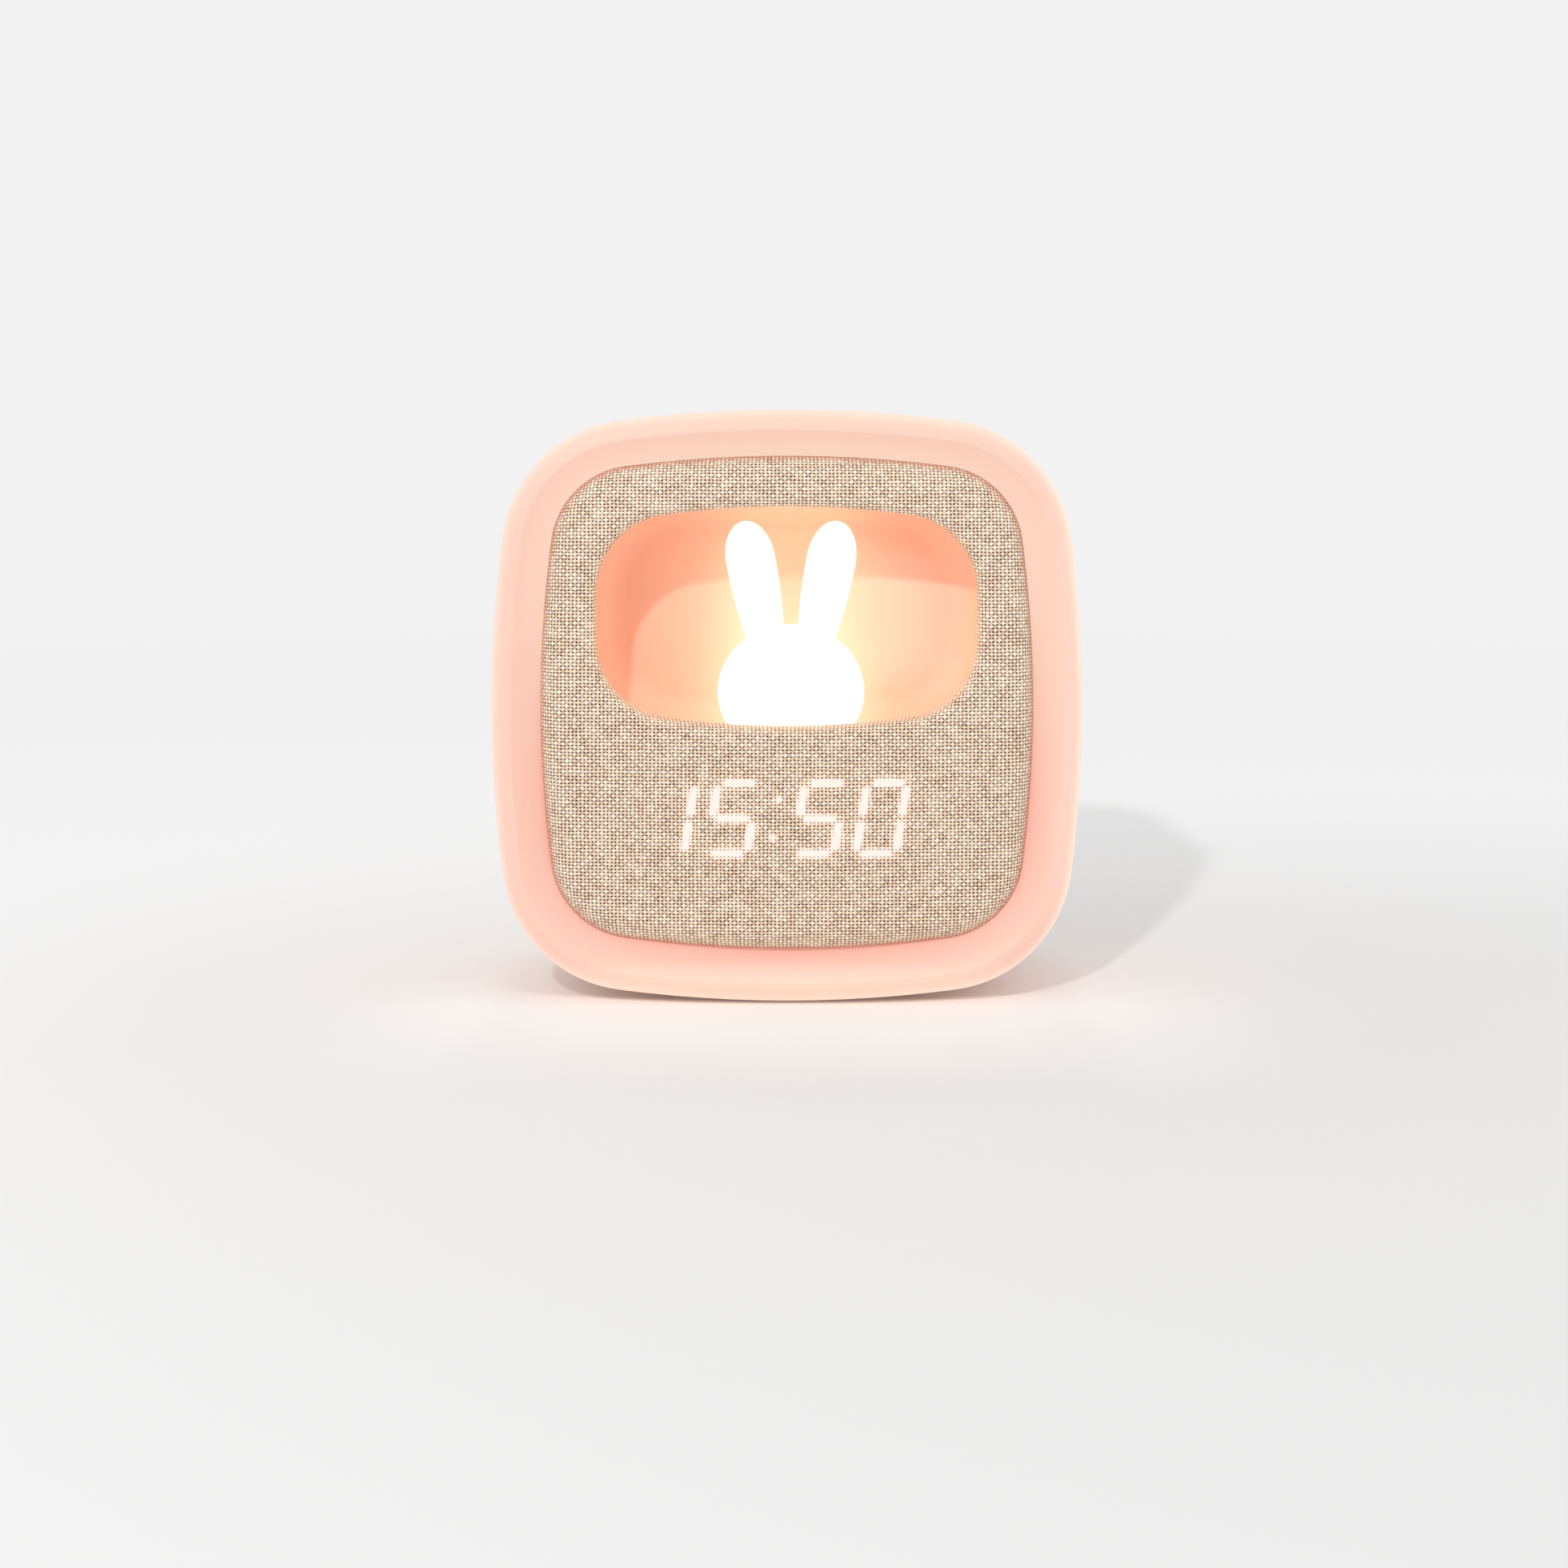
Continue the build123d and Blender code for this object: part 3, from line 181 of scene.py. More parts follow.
# painted shade in the lower nooks, painted light in the upper ones, and painted light on the edges
NOOK_PAINTED_SHADE = (0.96, 0.32, 0.23)
NOOK_PAINTED_LIGHT = (0.98, 0.88, 0.68)
PAINTED_EDGE_LIGHT = (0.13, 0.11, 0.09)

NICHE = (0.97, 0.59, 0.43)
# painted light, then painted shade between the ears and at the front edge
NICHE_LIT = (0.98, 0.70, 0.56)
NICHE_SHADE_BETWEEN_EARS = (0.90, 0.42, 0.31)
NICHE_EDGE_SHADE = (0.94, 0.36, 0.25)

WARP = (linear(233, 195, 186), linear(250, 226, 214))
WEFT = (linear(250, 228, 182), linear(255, 251, 218))
THREAD_SHADE = linear(150, 112, 98)
# painted shade in the holes between threads
HOLE_SHADE = linear(78, 48, 36)
LIP_SHADE = linear(214, 112, 92)
BAR_BASE = (0.1, 0.09, 0.085)
BAR_LIGHT = (0.84, 0.76, 0.70)
HALO_LIGHT = (0.14, 0.075, 0.055)


# ---- shader graphs ----
class Wire:
    """A number in a shader graph, with arithmetic."""

    def __init__(self, graph, socket):
        self.graph = graph
        self.socket = socket

    def math(self, operation, *others):
        node = self.graph.node("Math", dict(enumerate((self, *others))), operation=operation)
        return Wire(self.graph, node.outputs[0])

    def __add__(self, other):
        return self.math("ADD", other)

    def __sub__(self, other):
        return self.math("SUBTRACT", other)

    def __mul__(self, other):
        return self.math("MULTIPLY", other)

    def __truediv__(self, other):
        return self.math("DIVIDE", other)

    def __abs__(self):
        return self.math("ABSOLUTE")

    def at_least(self, other):
        return self.math("MAXIMUM", other)

    def wave(self):
        """Cosine of half a turn per unit."""
        return (self * pi).math("COSINE")

    def ramp(self, low, high):
        """0 below low, 1 above high, smooth between; low may be the larger."""
        limits = {"From Min": low, "From Max": high, "Value": self}
        node = self.graph.node("MapRange", limits, interpolation_type="SMOOTHSTEP")
        return Wire(self.graph, node.outputs["Result"])

    def band(self, low_out, low_in, high_in, high_out):
        """0 outside the outer two limits, 1 between the inner two."""
        return self.ramp(low_out, low_in) * self.ramp(high_out, high_in)


class Graph:
    """Shader nodes of a material, a lamp or the world."""

    def __init__(self, owner):
        owner.use_nodes = True
        self.tree = owner.node_tree

    def feed(self, socket, value):
        """Link a wire or socket to a socket, or set a number or colour on it."""
        if isinstance(value, Wire):
            value = value.socket
        if isinstance(value, bpy.types.NodeSocket):
            self.tree.links.new(value, socket)
        else:
            socket.default_value = value

    def node(self, kind, inputs=None, **settings):
        made = self.tree.nodes.new("ShaderNode" + kind)
        for key, value in settings.items():
            setattr(made, key, value)
        for key, value in (inputs or {}).items():
            self.feed(made.inputs[key], value)
        return made

    def wire(self, socket):
        return Wire(self, socket)

    def vector(self, operation, *inputs):
        """Vector result of a vector operation."""
        return self.node("VectorMath", dict(enumerate(inputs)), operation=operation).outputs[0]

    def scaled(self, vector, scale):
        made = self.node("VectorMath", {0: vector, "Scale": scale}, operation="SCALE")
        return made.outputs[0]

    def measured(self, operation, *inputs):
        """Number that a vector operation gives, such as a length."""
        made = self.node("VectorMath", dict(enumerate(inputs)), operation=operation)
        return self.wire(made.outputs["Value"])

    def parts(self, vector):
        """The x, y and z of a vector."""
        made = self.node("SeparateXYZ", {"Vector": vector})
        return [self.wire(socket) for socket in made.outputs]

    def place(self):
        """Position in the shared frame, in metres."""
        return self.node("TexCoord").outputs["Object"]

    def noise(self, scale, detail=2.0, roughness=0.5, place=None):
        settings = {"Scale": scale, "Detail": detail, "Roughness": roughness}
        made = self.node("TexNoise", {**settings, "Vector": place or self.place()})
        return self.wire(made.outputs["Fac"])

    def mix(self, share, first, second):
        """Colour between two colours."""
        made = self.node("Mix", data_type="RGBA")
        self.feed(made.inputs[0], share)
        self.feed(made.inputs[6], rgba(first) if isinstance(first, tuple) else first)
        self.feed(made.inputs[7], rgba(second) if isinstance(second, tuple) else second)
        return made.outputs[2]

    def bump(self, height, distance, strength=1.0):
        """Normal of a relief whose height is given as a share of a distance in millimetres."""
        inputs = {"Distance": distance * MM, "Strength": strength, "Height": height}
        return self.node("Bump", inputs).outputs["Normal"]


class Surface(Graph):
    """Nodes of one material round its Principled shader."""

    def __init__(self, name):
        self.material = bpy.data.materials.new(name)
        super().__init__(self.material)
        self.shader = self.tree.nodes["Principled BSDF"]
        self.output = self.tree.nodes["Material Output"]

    def set(self, **inputs):
        """Feed inputs of the shader, named with _ for a space."""
        for key, value in inputs.items():
            socket = self.shader.inputs[key.replace("_", " ")]
            self.feed(socket, rgba(value) if isinstance(value, tuple) else value)

    def base_colour(self):
        """What is linked to the base colour so far."""
        return self.shader.inputs["Base Color"].links[0].from_socket


# ---- materials ----
def moulded_surface(name, colour, roughness=0.5, grain=0.22, depth=0.006):
    """Moulded plastic or rubber: fine spark-eroded grain, slight drift of colour and gloss."""
    graph = Surface(name)
    cloud = graph.noise(35.0, 3.0)
    darker = tuple(c * 0.97 for c in colour)
    graph.set(Base_Color=graph.mix(cloud, darker, colour))
    graph.set(Roughness=graph.noise(260.0, 3.0) * 0.12 + (roughness - 0.06))
    fine = graph.noise(1000.0 / grain, 2.0)
    coarse = graph.noise(400.0 / grain, 1.0)
    graph.set(Normal=graph.bump(fine + coarse, depth))
    return graph


def moulded(name, colour, **finish):
    return moulded_surface(name, colour, **finish).material


def shell_plastic():
    """Peach plastic: its edges and rims glow with painted light, and its nooks round the cloth
    carry painted shade below and painted light above.
    """
    graph = moulded_surface("peach_plastic", PEACH)
    graph.set(Sheen_Weight=0.25, Sheen_Roughness=0.45)
    x, y, z = graph.parts(graph.place())
    front = y.ramp(*FRONT_HALF)

    # painted shade in the nooks round the cloth where they are closed in, turning to painted light
    # higher up
    nook_shade_and_light = graph.mix(z.ramp(*NOOK_RISE), NOOK_PAINTED_SHADE, NOOK_PAINTED_LIGHT)
    openness = graph.node("AmbientOcclusion", {"Distance": NOOK_REACH}, samples=6).outputs["AO"]
    painted_nook_share = graph.wire(openness).ramp(*NOOK_SHUT) * z.ramp(*CLEAR_OF_FLOOR) * front
    graph.set(Base_Color=graph.mix(painted_nook_share, graph.base_colour(), nook_shade_and_light))

    right, back, up = graph.parts(graph.node("NewGeometry").outputs["Normal"])
    rightward = right.at_least(0.0)
    downward = (up * -1.0).at_least(0.0)
    # painted light: an emission on faces that turn sideways, more on those facing right or down,
    # and on the lower and right rims and the front
    edge = abs(back).ramp(*EDGE_TURN) * (rightward * 0.5 + downward * 0.4 + 1.0)
    rim = z.ramp(*LOW_RIM) * 0.75 + x.ramp(*RIGHT_RIM) * 0.45 + 0.10
    graph.set(Emission_Color=graph.scaled(PAINTED_EDGE_LIGHT, edge + rim * front))
    graph.set(Emission_Strength=1.0)
    return graph.material


def niche_plastic():
    """Plastic of the niche: painted light where the key lamp falls, painted shade between the ears
    and deeper painted shade at the front edge.
    """
    graph = moulded_surface("niche_plastic", NICHE, roughness=0.55)
    x, y, z = graph.parts(graph.place())
    wall = graph.base_colour()
    # painted light where the key lamp falls and painted shade between the ears
    for (bounds_x, bounds_z), colour in ((LIT_PATCH, NICHE_LIT), (EAR_SHADE_PATCH, NICHE_SHADE_BETWEEN_EARS)):
        wall = graph.mix(x.band(*bounds_x) * z.band(*bounds_z), wall, colour)
    # painted shade at the front edge
    graph.set(Base_Color=graph.mix(y.ramp(*NICHE_FRONT), wall, NICHE_EDGE_SHADE))
    return graph.material


def metal(name, colour, roughness=0.3):
    """Formed sheet or turned metal with faint drawing marks."""
    graph = Surface(name)
    stretch = graph.node("Mapping", {"Vector": graph.place(), "Scale": (1.0, 1.0, 9.0)}).outputs[0]
    marks = graph.noise(900.0, 4.0, 0.6, stretch)
    graph.set(Base_Color=graph.mix(marks, tuple(c * 0.86 for c in colour), colour))
    graph.set(Roughness=marks * 0.16 + (roughness - 0.06))
    graph.set(Normal=graph.bump(marks, 0.004), Metallic=1.0)
    return graph.material


def board_material(name):
    """Green solder mask over faint copper tracks."""
    graph = Surface(name)
    colours = {
        "Color1": rgba(linear(14, 92, 58)),
        "Color2": rgba(linear(12, 84, 52)),
        "Mortar": rgba(linear(30, 122, 78)),
    }
    tracks = {"Vector": graph.place(), "Scale": 420.0, "Mortar Size": 0.035}
    brick = graph.node("TexBrick", {**tracks, **colours})
    cloud = graph.noise(300.0, 3.0)
    graph.set(Base_Color=graph.mix(cloud * 0.4, brick.outputs["Color"], linear(10, 74, 46)))
    graph.set(Roughness=cloud * 0.15 + 0.25)
    graph.set(Normal=graph.bump(brick.outputs["Fac"], 0.02))
    return graph.material


def glowing(name, colour, glow, strength, roughness=0.45):
    """Translucent plastic lit from within."""
    graph = Surface(name)
    cloud = graph.noise(120.0, 2.0)
    graph.set(Base_Color=graph.mix(cloud, tuple(c * 0.97 for c in colour), colour))
    graph.set(Roughness=cloud * 0.1 + roughness)
    graph.set(Normal=graph.bump(graph.noise(4000.0, 2.0), 0.004))
    graph.set(Emission_Color=glow, Emission_Strength=strength)
    return graph.material


# ---- cloth material ----
def box_distance(graph, place, centre, half):
    """Distance from a point to a flat box, in millimetres."""
    apart = graph.vector("ABSOLUTE", graph.vector("SUBTRACT", place, (*centre, 0)))
    outside = graph.vector("MAXIMUM", graph.vector("SUBTRACT", apart, (*half, 0)), (0, 0, 0))
    return graph.measured("LENGTH", outside)


def lit_boxes():
    """(centre, half size) of each lit bar and dot, upright, from the middle of the display."""
    wide, tall = DIGIT_HALF
    level = (wide - BAR_CUT[0], BAR_SPREAD / 2)
    upright = (BAR_SPREAD, tall / 2 - BAR_CUT[1])
    bars = {
        "a": ((TOP_BAR_SHIFT[0], tall + TOP_BAR_SHIFT[1]), level),
        "b": ((wide, tall / 2), upright),
        "c": ((wide, -tall / 2), upright),
        "d": ((0, -tall), level),
        "e": ((-wide, -tall / 2), upright),
        "f": ((-wide, tall / 2), upright),
        "g": ((0, 0), level),
    }
    boxes = []
    for middle, figure in zip(DIGIT_X, SHOWN):
        for letter in LIT[figure]:
            (x, z), half = bars[letter]
            boxes.append(((middle + x, z), half))
    for side in (-1, 1):
        boxes.append(((COLON_X, side * COLON_RISE), (0.0, 0.0)))
    return boxes


def display_distance(graph, across, up):
    """Distance in millimetres from the middle line of the nearest lit bar."""
    level = up - DISPLAY_Z
    straight = graph.node("CombineXYZ", {"X": across - level * SLANT, "Y": level}).outputs[0]
    nearest = None
    for centre, half in lit_boxes():
        distance = box_distance(graph, straight, centre, half)
        nearest = nearest.math("MINIMUM", distance) if nearest else distance
    return nearest


def thread_tone(graph, index, other, seed):
    """Random tone of one thread, which drifts along its length."""
    made = graph.node("CombineXYZ", {"X": index, "Y": other * TONE_DRIFT, "Z": seed})
    return graph.noise(1.7, 2.0, place=made.outputs[0])


def weave(graph, place):
    """Colour, hole share and height of a plain weave; the holes are filled with painted shade."""
    shift = graph.node("TexNoise", {"Vector": place, "Scale": 0.5, "Detail": 4.0, "Roughness": 0.7})
    shift = graph.vector("SUBTRACT", shift.outputs["Color"], (0.5, 0.5, 0.5))
    moved = graph.vector("ADD", place, graph.scaled(shift, WOBBLE))
    x, z, _ = graph.parts(moved)
    s = x / THREAD_X
    t = z / THREAD_Z
    column = s.math("FLOOR")
    row = t.math("FLOOR")
    across = (s - column - 0.5).wave()
    along = (t - row - 0.5).wave()
    turn = (column + row).math("FLOORED_MODULO", 2.0) * -2.0 + 1.0
    warp_tone = thread_tone(graph, column, row, 3.7)
    weft_tone = thread_tone(graph, row, column, 9.1)
    warp_height = across * THREAD_ARCH + turn * along * THREAD_WAVE
    weft_height = along * THREAD_ARCH - turn * across * THREAD_WAVE
    warp_over = (warp_height - weft_height).ramp(-CROSSING, CROSSING)

    fibre = graph.noise(4.2, 3.0, 0.7, moved)
    knot_x = (s + 0.5).math("FLOOR")
    knot_z = (t + 0.5).math("FLOOR")
    twist = (knot_x + knot_z).math("FLOORED_MODULO", 2.0) * 2.0 - 1.0
    from_x = s - knot_x
    from_z = t - knot_z
    skewed = from_x * from_x + from_z * from_z + from_x * from_z * twist * HOLE_TWIST
    opened = skewed.math("SQRT") + (fibre - 0.5) * FRAY
    hole = (opened + (warp_tone + weft_tone - 1.0) * TIGHTNESS).ramp(*reversed(HOLE))

    warp_colour = graph.mix(warp_tone.ramp(*TONE_LIMITS), *WARP)
    weft_colour = graph.mix(weft_tone.ramp(*TONE_LIMITS), *WEFT)
    thread = graph.mix(warp_over, weft_colour, warp_colour)
    shaded = (fibre - FIBRE_SHADE[0]).at_least(0.0) * FIBRE_SHADE[1]
    thread = graph.mix(shaded, thread, THREAD_SHADE)
    height = warp_height.at_least(weft_height) - hole * HOLE_DEPTH + fibre * FIBRE_LIFT
    # the holes are painted shade
    return graph.mix(hole, thread, HOLE_SHADE), hole, height


def cloth_material():
    """Creamy weft over pink-white warp; the light of the digits through it is painted on as a glow.
    """
    graph = Surface("cloth")
    place = graph.node("Attribute", attribute_name="thread_place").outputs["Vector"]
    woven, hole, height = weave(graph, place)
    across, up, sunk = graph.parts(place)
    woven = graph.mix(sunk.ramp(*LIP_REACH), woven, LIP_SHADE)

    # light of the digits through the cloth, painted on it as a glow
    distance = display_distance(graph, across, up)
    lit = (distance + (hole - 0.3) * BAR_RAGGED).ramp(*BAR_EDGE)
    halo = distance.ramp(*HALO_EDGE)
    light = graph.mix(lit, BLACK, BAR_LIGHT)
    soft = graph.mix(halo, BLACK, HALO_LIGHT)
    graph.set(Base_Color=graph.mix(lit, woven, BAR_BASE))
    graph.set(Emission_Color=graph.vector("ADD", light, soft), Emission_Strength=1.0)
    graph.set(Roughness=0.85, Specular_IOR_Level=0.2)
    graph.set(Sheen_Weight=0.1, Sheen_Roughness=0.5)
    graph.set(Normal=graph.bump(height, RELIEF, 0.7))
    return graph.material


# ---- meshes ----
def mesh_object(name, points, faces, material, attributes=None):
    """Smooth mesh from points in millimetres, with vectors stored at its points."""
    mesh = bpy.data.meshes.new(name)
    mesh.from_pydata([tuple(c * MM for c in point) for point in points], [], faces)
    mesh.validate()
    for key, values in (attributes or {}).items():
        layer = mesh.attributes.new(key, "FLOAT_VECTOR", "POINT")
        layer.data.foreach_set("vector", [c for value in values for c in value])
    mesh.shade_smooth()
    mesh.materials.append(material)
    made = bpy.data.objects.new(name, mesh)
    scene.collection.objects.link(made)
    return made


def soft_square_points(half, radii, corner, counts):
    """Points and outward normals once round a rounded square whose sides bow outwards.
    counts are the steps in half a side, in a corner and in half an end."""
    side = Vector((half[0] - radii[0], 0.0))
    end = Vector((0.0, half[1] - radii[1]))
    side_reach = radii[0] - corner
    end_reach = radii[1] - corner
    span = end - side
    along = (side_reach**2 - end_reach**2 + span.length_squared) / (2 * span.length)
    across = sqrt(side_reach**2 - along**2)
    unit = span.normalized()
    middle = side + unit * along + Vector((-unit.y, unit.x)) * across
    to_side = (middle - side).normalized()
    to_end = (middle - end).normalized()

    def arc(centre, radius, first, last, count):
        start = Vector((1, 0)).angle_signed(first) * -1
        sweep = first.angle_signed(last) * -1
        angles = [start + sweep * step / count for step in range(count)]
        normals = [Vector((cos(a), sin(a))) for a in angles]
        return [(centre + normal * radius, normal) for normal in normals]

    quarter = arc(side, radii[0], Vector((1, 0)), to_side, counts[0])
    quarter += arc(middle, corner, to_side, to_end, counts[1])
    quarter += arc(end, radii[1], to_end, Vector((0, 1)), counts[2])
    top = (Vector((0.0, half[1])), Vector((0.0, 1.0)))
    right_top = quarter + [top]

    def flip(pairs, sign_x, sign_z):
        scale = Vector((sign_x, sign_z))
        return [(point * scale, normal * scale) for point, normal in pairs]

    left_top = flip(right_top[::-1], -1, 1)[1:]
    left_low = flip(right_top, -1, -1)[1:]
    right_low = flip(right_top[::-1], 1, -1)[1:-1]
    return right_top + left_top + left_low + right_low


def dome(x, z):
    """Depth of the cushion's front at a point, in millimetres."""
    return DOME_RADIUS - sqrt(DOME_RADIUS**2 - x**2 - (z - PANEL_Z) ** 2)


def cloth_column(out_point, out_normal, in_point, in_normal):
    """Rows of the cloth from the window out to the ring: (place, depth, thread place, sunk).
    The thread place is where the point lies on the flat cloth; sunk is 1 at the ring's lip."""
    flat_in = in_point + in_normal * WINDOW_ROLL
    flat_out = out_point - out_normal * CLOTH_ROLL
    rows = []
    for depth in WINDOW_TUCK:
        run = WINDOW_ROLL * pi / 2 + depth - WINDOW_ROLL - dome(*flat_in)
        rows.append((in_point, depth, flat_in - in_normal * run, 0.0))
    for step in range(WINDOW_ROLL_STEPS):
        angle = pi / 2 * step / WINDOW_ROLL_STEPS
        place = in_point + in_normal * WINDOW_ROLL * (1 - cos(angle))
        depth = dome(*place) + WINDOW_ROLL * (1 - sin(angle))
        rows.append((place, depth, flat_in - in_normal * WINDOW_ROLL * (pi / 2 - angle), 0.0))
    for step in range(FLAT_STEPS + 1):
        place = flat_in.lerp(flat_out, step / FLAT_STEPS)
        rows.append((place, dome(*place), place, 0.0))
    bend = 2 * atan2(RING_LIP - dome(*out_point), CLOTH_ROLL)
    radius = CLOTH_ROLL / sin(bend)
    for step in range(1, RING_ROLL_STEPS + 1):
        angle = bend * step / RING_ROLL_STEPS
        place = flat_out + out_normal * radius * sin(angle)
        depth = dome(*place) + radius * (1 - cos(angle))
        thread = flat_out + out_normal * radius * angle
        rows.append((place, depth, thread, step / RING_ROLL_STEPS))
    for depth in CLOTH_TUCK:
        thread = flat_out + out_normal * (radius * bend + depth - RING_LIP)
        rows.append((out_point, depth, thread, 1.0))
    return rows


def make_cloth(material):
    """The cloth panel: it rolls in at the window and at the ring."""
    half = SHELL_HALF - CLOTH_INSET
    bow = BOW_RADIUS - CLOTH_INSET
    corner = CORNER_RADIUS - CLOTH_INSET
    outer = soft_square_points((half, half), (bow, bow), corner, OUTLINE_STEPS)
    inner = soft_square_points(WINDOW_HALF, WINDOW_RADII, WINDOW_CORNER, OUTLINE_STEPS)
    points = []
    threads = []
    for (out_point, out_normal), (in_point, in_normal) in zip(outer, inner):
        out_point = out_point + Vector((0, PANEL_Z))
        in_point = in_point + Vector((0, WINDOW_Z))
        for place, depth, thread, sunk in cloth_column(out_point, out_normal, in_point, in_normal):
            points.append((place.x, depth - HALF_DEPTH, place.y))
            threads.append((thread.x, thread.y, sunk))
    rows = len(points) // len(outer)
    faces = []
    for column in range(len(outer)):
        here = column * rows
        there = (column + 1) % len(outer) * rows
        for row in range(rows - 1):
            faces.append((here + row, here + row + 1, there + row + 1, there + row))
    cloth = mesh_object("cloth_panel", points, faces, material, {"thread_place": threads})
    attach(cloth, "housing")
    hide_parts("fabric_panel")
    return cloth


# ---- floor, lights and camera ----
def floor_material():
    """Pale floor that passes into the white background, with painted shade in front at the right, a
    painted shadow below the housing and a painted glow of its light in front of it and at its
    sides.
    """
    graph = Surface("floor")
    x, y, _ = graph.parts(graph.place())
    aside = abs(x)
    inward = y - aside * aside * UNDER_CURVE
    under = inward.ramp(*UNDER_FRONT)

    # painted shade on the floor in front at the right
    from_patch = [(x - PAINTED_SHADE_PATCH[0]).math("POWER", 2.0), (y - PAINTED_SHADE_PATCH[1]).math("POWER", 2.0)]
    painted_shade = (from_patch[0] + from_patch[1]).math("SQRT").ramp(*PAINTED_SHADE_REACH)
    # painted shadow below the housing
    contact = aside.ramp(*CONTACT_SHADOW_X) * under * y.ramp(*CONTACT_SHADOW_BACK)
    plain = graph.mix(painted_shade, FLOOR_BRIGHT, FLOOR_PAINTED_SHADE)
    graph.set(Base_Color=graph.mix(contact, plain, FLOOR_CONTACT_SHADOW))
    graph.set(Roughness=0.9, Specular_IOR_Level=0.0)

    # painted glow of the housing's light, in front of it and at its sides
    ahead = (y.ramp(*GLOW_BEHIND) - aside.ramp(*COVERED_X) * under).at_least(0.0)
    front = y.ramp(*GLOW_AHEAD) * ahead * aside.ramp(*GLOW_X)
    sides = aside.ramp(*SIDE_GLOW_NEAR) * aside.ramp(*SIDE_GLOW_FAR) * y.band(*SIDE_GLOW_Y)
    graph.set(Emission_Color=graph.mix(front + sides * SIDE_GLOW, BLACK, FLOOR_GLOW))
    graph.set(Emission_Strength=1.0)

    far = (x * x + y * y).math("SQRT").ramp(*FLOOR_FADE)
    white = graph.node("Emission", {"Color": rgba(BACKGROUND), "Strength": 1.0})
    blend = graph.node("MixShader", {0: far, 1: graph.shader.outputs[0], 2: white.outputs[0]})
    graph.feed(graph.output.inputs["Surface"], blend.outputs[0])
    return graph.material


def make_floor():
    half = FLOOR_HALF / MM
    corners = [(x * half, y * half, 0) for x, y in ((-1, -1), (1, -1), (1, 1), (-1, 1))]
    floor = mesh_object("floor", corners, [(0, 1, 2, 3)], floor_material())


def make_world():
    """Soft boxes on both sides, above, behind and in front; the camera sees an even white."""
    world = bpy.data.worlds.new("studio")
    scene.world = world
    graph = Graph(world)
    toward = graph.node("TexCoord").outputs["Generated"]
    level = None
    for axis, weight in SOFT_BOXES.items():
        facing = graph.measured("DOT_PRODUCT", toward, axis).at_least(0.0)
        share = facing.math("POWER", 2.0) * weight
        level = level + share if level else share
    background = graph.tree.nodes["Background"]
    graph.feed(background.inputs["Color"], (1.0, 1.0, 1.0, 1.0))
    graph.feed(background.inputs["Strength"], level)
    seen = graph.node("Background", {"Color": rgba(BACKGROUND)})
    rays = graph.node("LightPath").outputs
    direct = graph.wire(rays["Is Camera Ray"]).at_least(graph.wire(rays["Is Glossy Ray"]))
    mix = graph.node("MixShader", {0: direct, 1: background.outputs[0], 2: seen.outputs[0]})
    graph.feed(graph.tree.nodes["World Output"].inputs["Surface"], mix.outputs[0])


def make_key():
    """A small lamp in front, up and to the left, that is as bright near as far."""
    data = bpy.data.lights.new("key", "POINT")
    data.energy = KEY_POWER
    data.shadow_soft_size = KEY_RADIUS
    graph = Graph(data)
    falloff = graph.node("LightFalloff", {"Strength": 1.0})
    graph.feed(graph.tree.nodes["Emission"].inputs["Strength"], falloff.outputs["Constant"])
    key = bpy.data.objects.new("key", data)
    scene.collection.objects.link(key)
    key.location = KEY_PLACE


def make_camera():
    data = bpy.data.cameras.new("camera")
    data.sensor_fit = "HORIZONTAL"
    data.sensor_width = 36.0
    data.lens = CAMERA_LENS
    data.shift_y = CAMERA_SHIFT
    data.clip_start = 0.01
    data.clip_end = 20.0
    camera = bpy.data.objects.new("camera", data)
    scene.collection.objects.link(camera)
    camera.location = CAMERA_PLACE
    camera.rotation_euler = (radians(90), 0, 0)
    scene.camera = camera


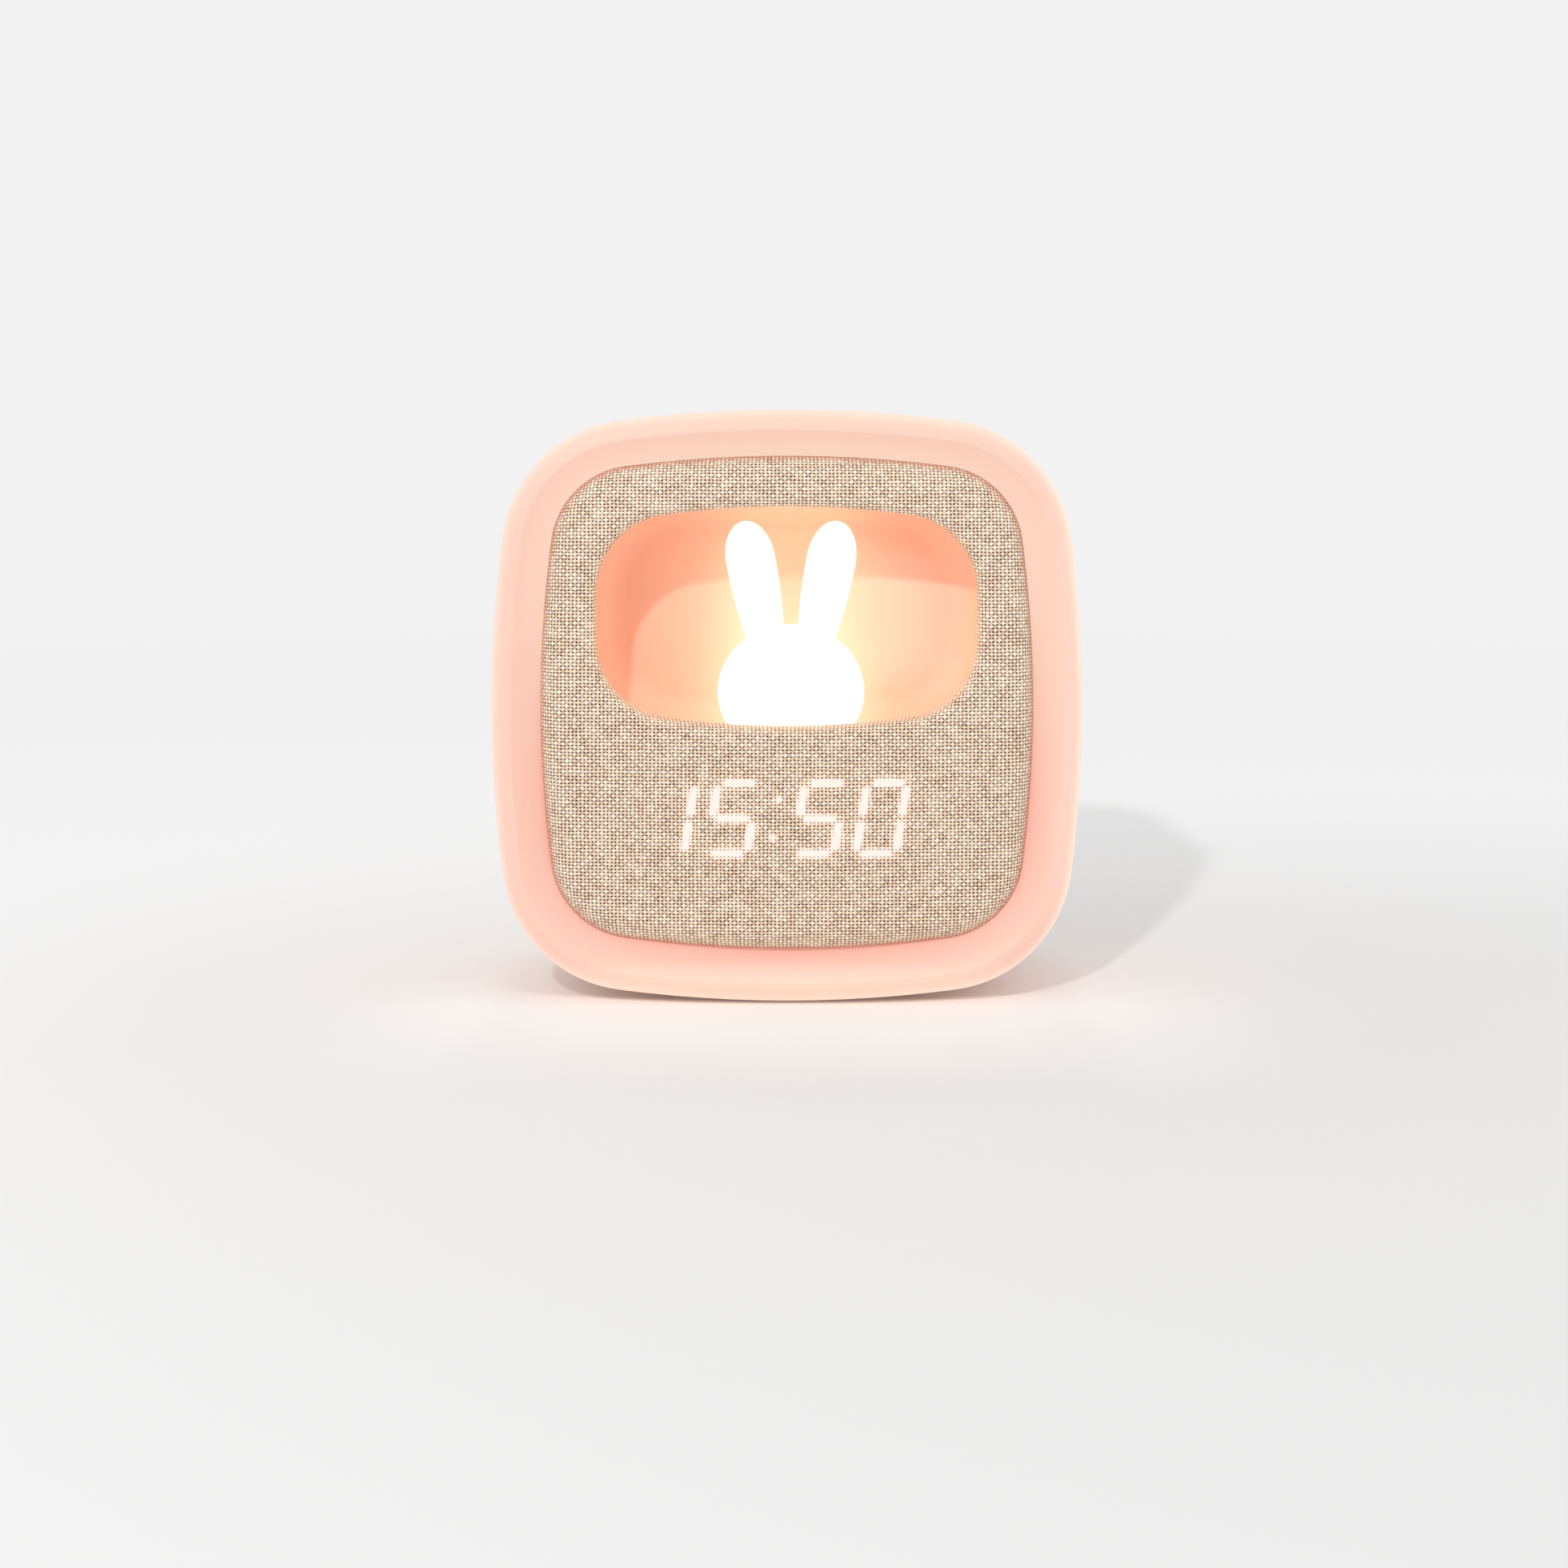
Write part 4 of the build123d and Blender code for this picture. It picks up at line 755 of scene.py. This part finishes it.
# ---- put together ----
materials = {
    "shell_plastic": shell_plastic(),
    "niche_plastic": niche_plastic(),
    "carrier_plastic": moulded("carrier_plastic", linear(226, 205, 186), roughness=0.6),
    "figure_silicone": glowing("figure_silicone", (0.95, 0.95, 0.9), (1.0, 0.97, 0.82), 1.4),
    "lamp_leds": glowing("lamp_leds", (0.95, 0.85, 0.5), (1.0, 0.86, 0.6), 3.0, 0.2),
    "block_plastic": moulded("block_plastic", linear(238, 238, 234), roughness=0.55),
    "lit_bars": glowing("lit_bars", (0.9, 0.88, 0.84), (1.0, 0.94, 0.87), 1.5, 0.3),
    "unlit_bars": moulded("unlit_bars", linear(205, 200, 190), roughness=0.3),
    "display_leds": glowing("display_leds", (0.95, 0.85, 0.5), (1.0, 0.9, 0.8), 2.0, 0.2),
    "board": board_material("circuit_board"),
    "chip_resin": moulded("chip_resin", linear(34, 34, 36), roughness=0.6),
    "can_metal": metal("can_metal", (0.7, 0.7, 0.71)),
    "capacitor_can": metal("capacitor_can", (0.78, 0.78, 0.8), 0.28),
    "switch_plastic": moulded("switch_plastic", linear(44, 44, 48), roughness=0.55),
    "button_plastic": moulded("button_plastic", linear(252, 240, 230), roughness=0.45),
    "usb_steel": metal("usb_steel", (0.66, 0.66, 0.68), 0.25),
    "contact_steel": metal("contact_steel", (0.72, 0.71, 0.68), 0.3),
    "magnet": metal("magnet", (0.35, 0.35, 0.37), 0.35),
    "cone_paper": moulded("cone_paper", linear(40, 40, 42), roughness=0.9, depth=0.03),
    "cell_jacket": moulded("cell_jacket", linear(58, 60, 66), roughness=0.3),
    "screw_steel": metal("screw_steel", (0.62, 0.62, 0.63), 0.3),
    "foot_rubber": moulded(
        "foot_rubber", linear(225, 210, 200), roughness=0.8, grain=0.4, depth=0.02
    ),
}
slots = {part["node"]: part["material_slot"] for part in frame["record"]["subparts"]}
for name, node in nodes.items():
    if slots[name] in materials:
        node.data.materials.clear()
        node.data.materials.append(materials[slots[name]])

cloth = make_cloth(cloth_material())

make_floor()
make_world()
make_camera()
make_key()
nodes["figure_light"].visible_shadow = False
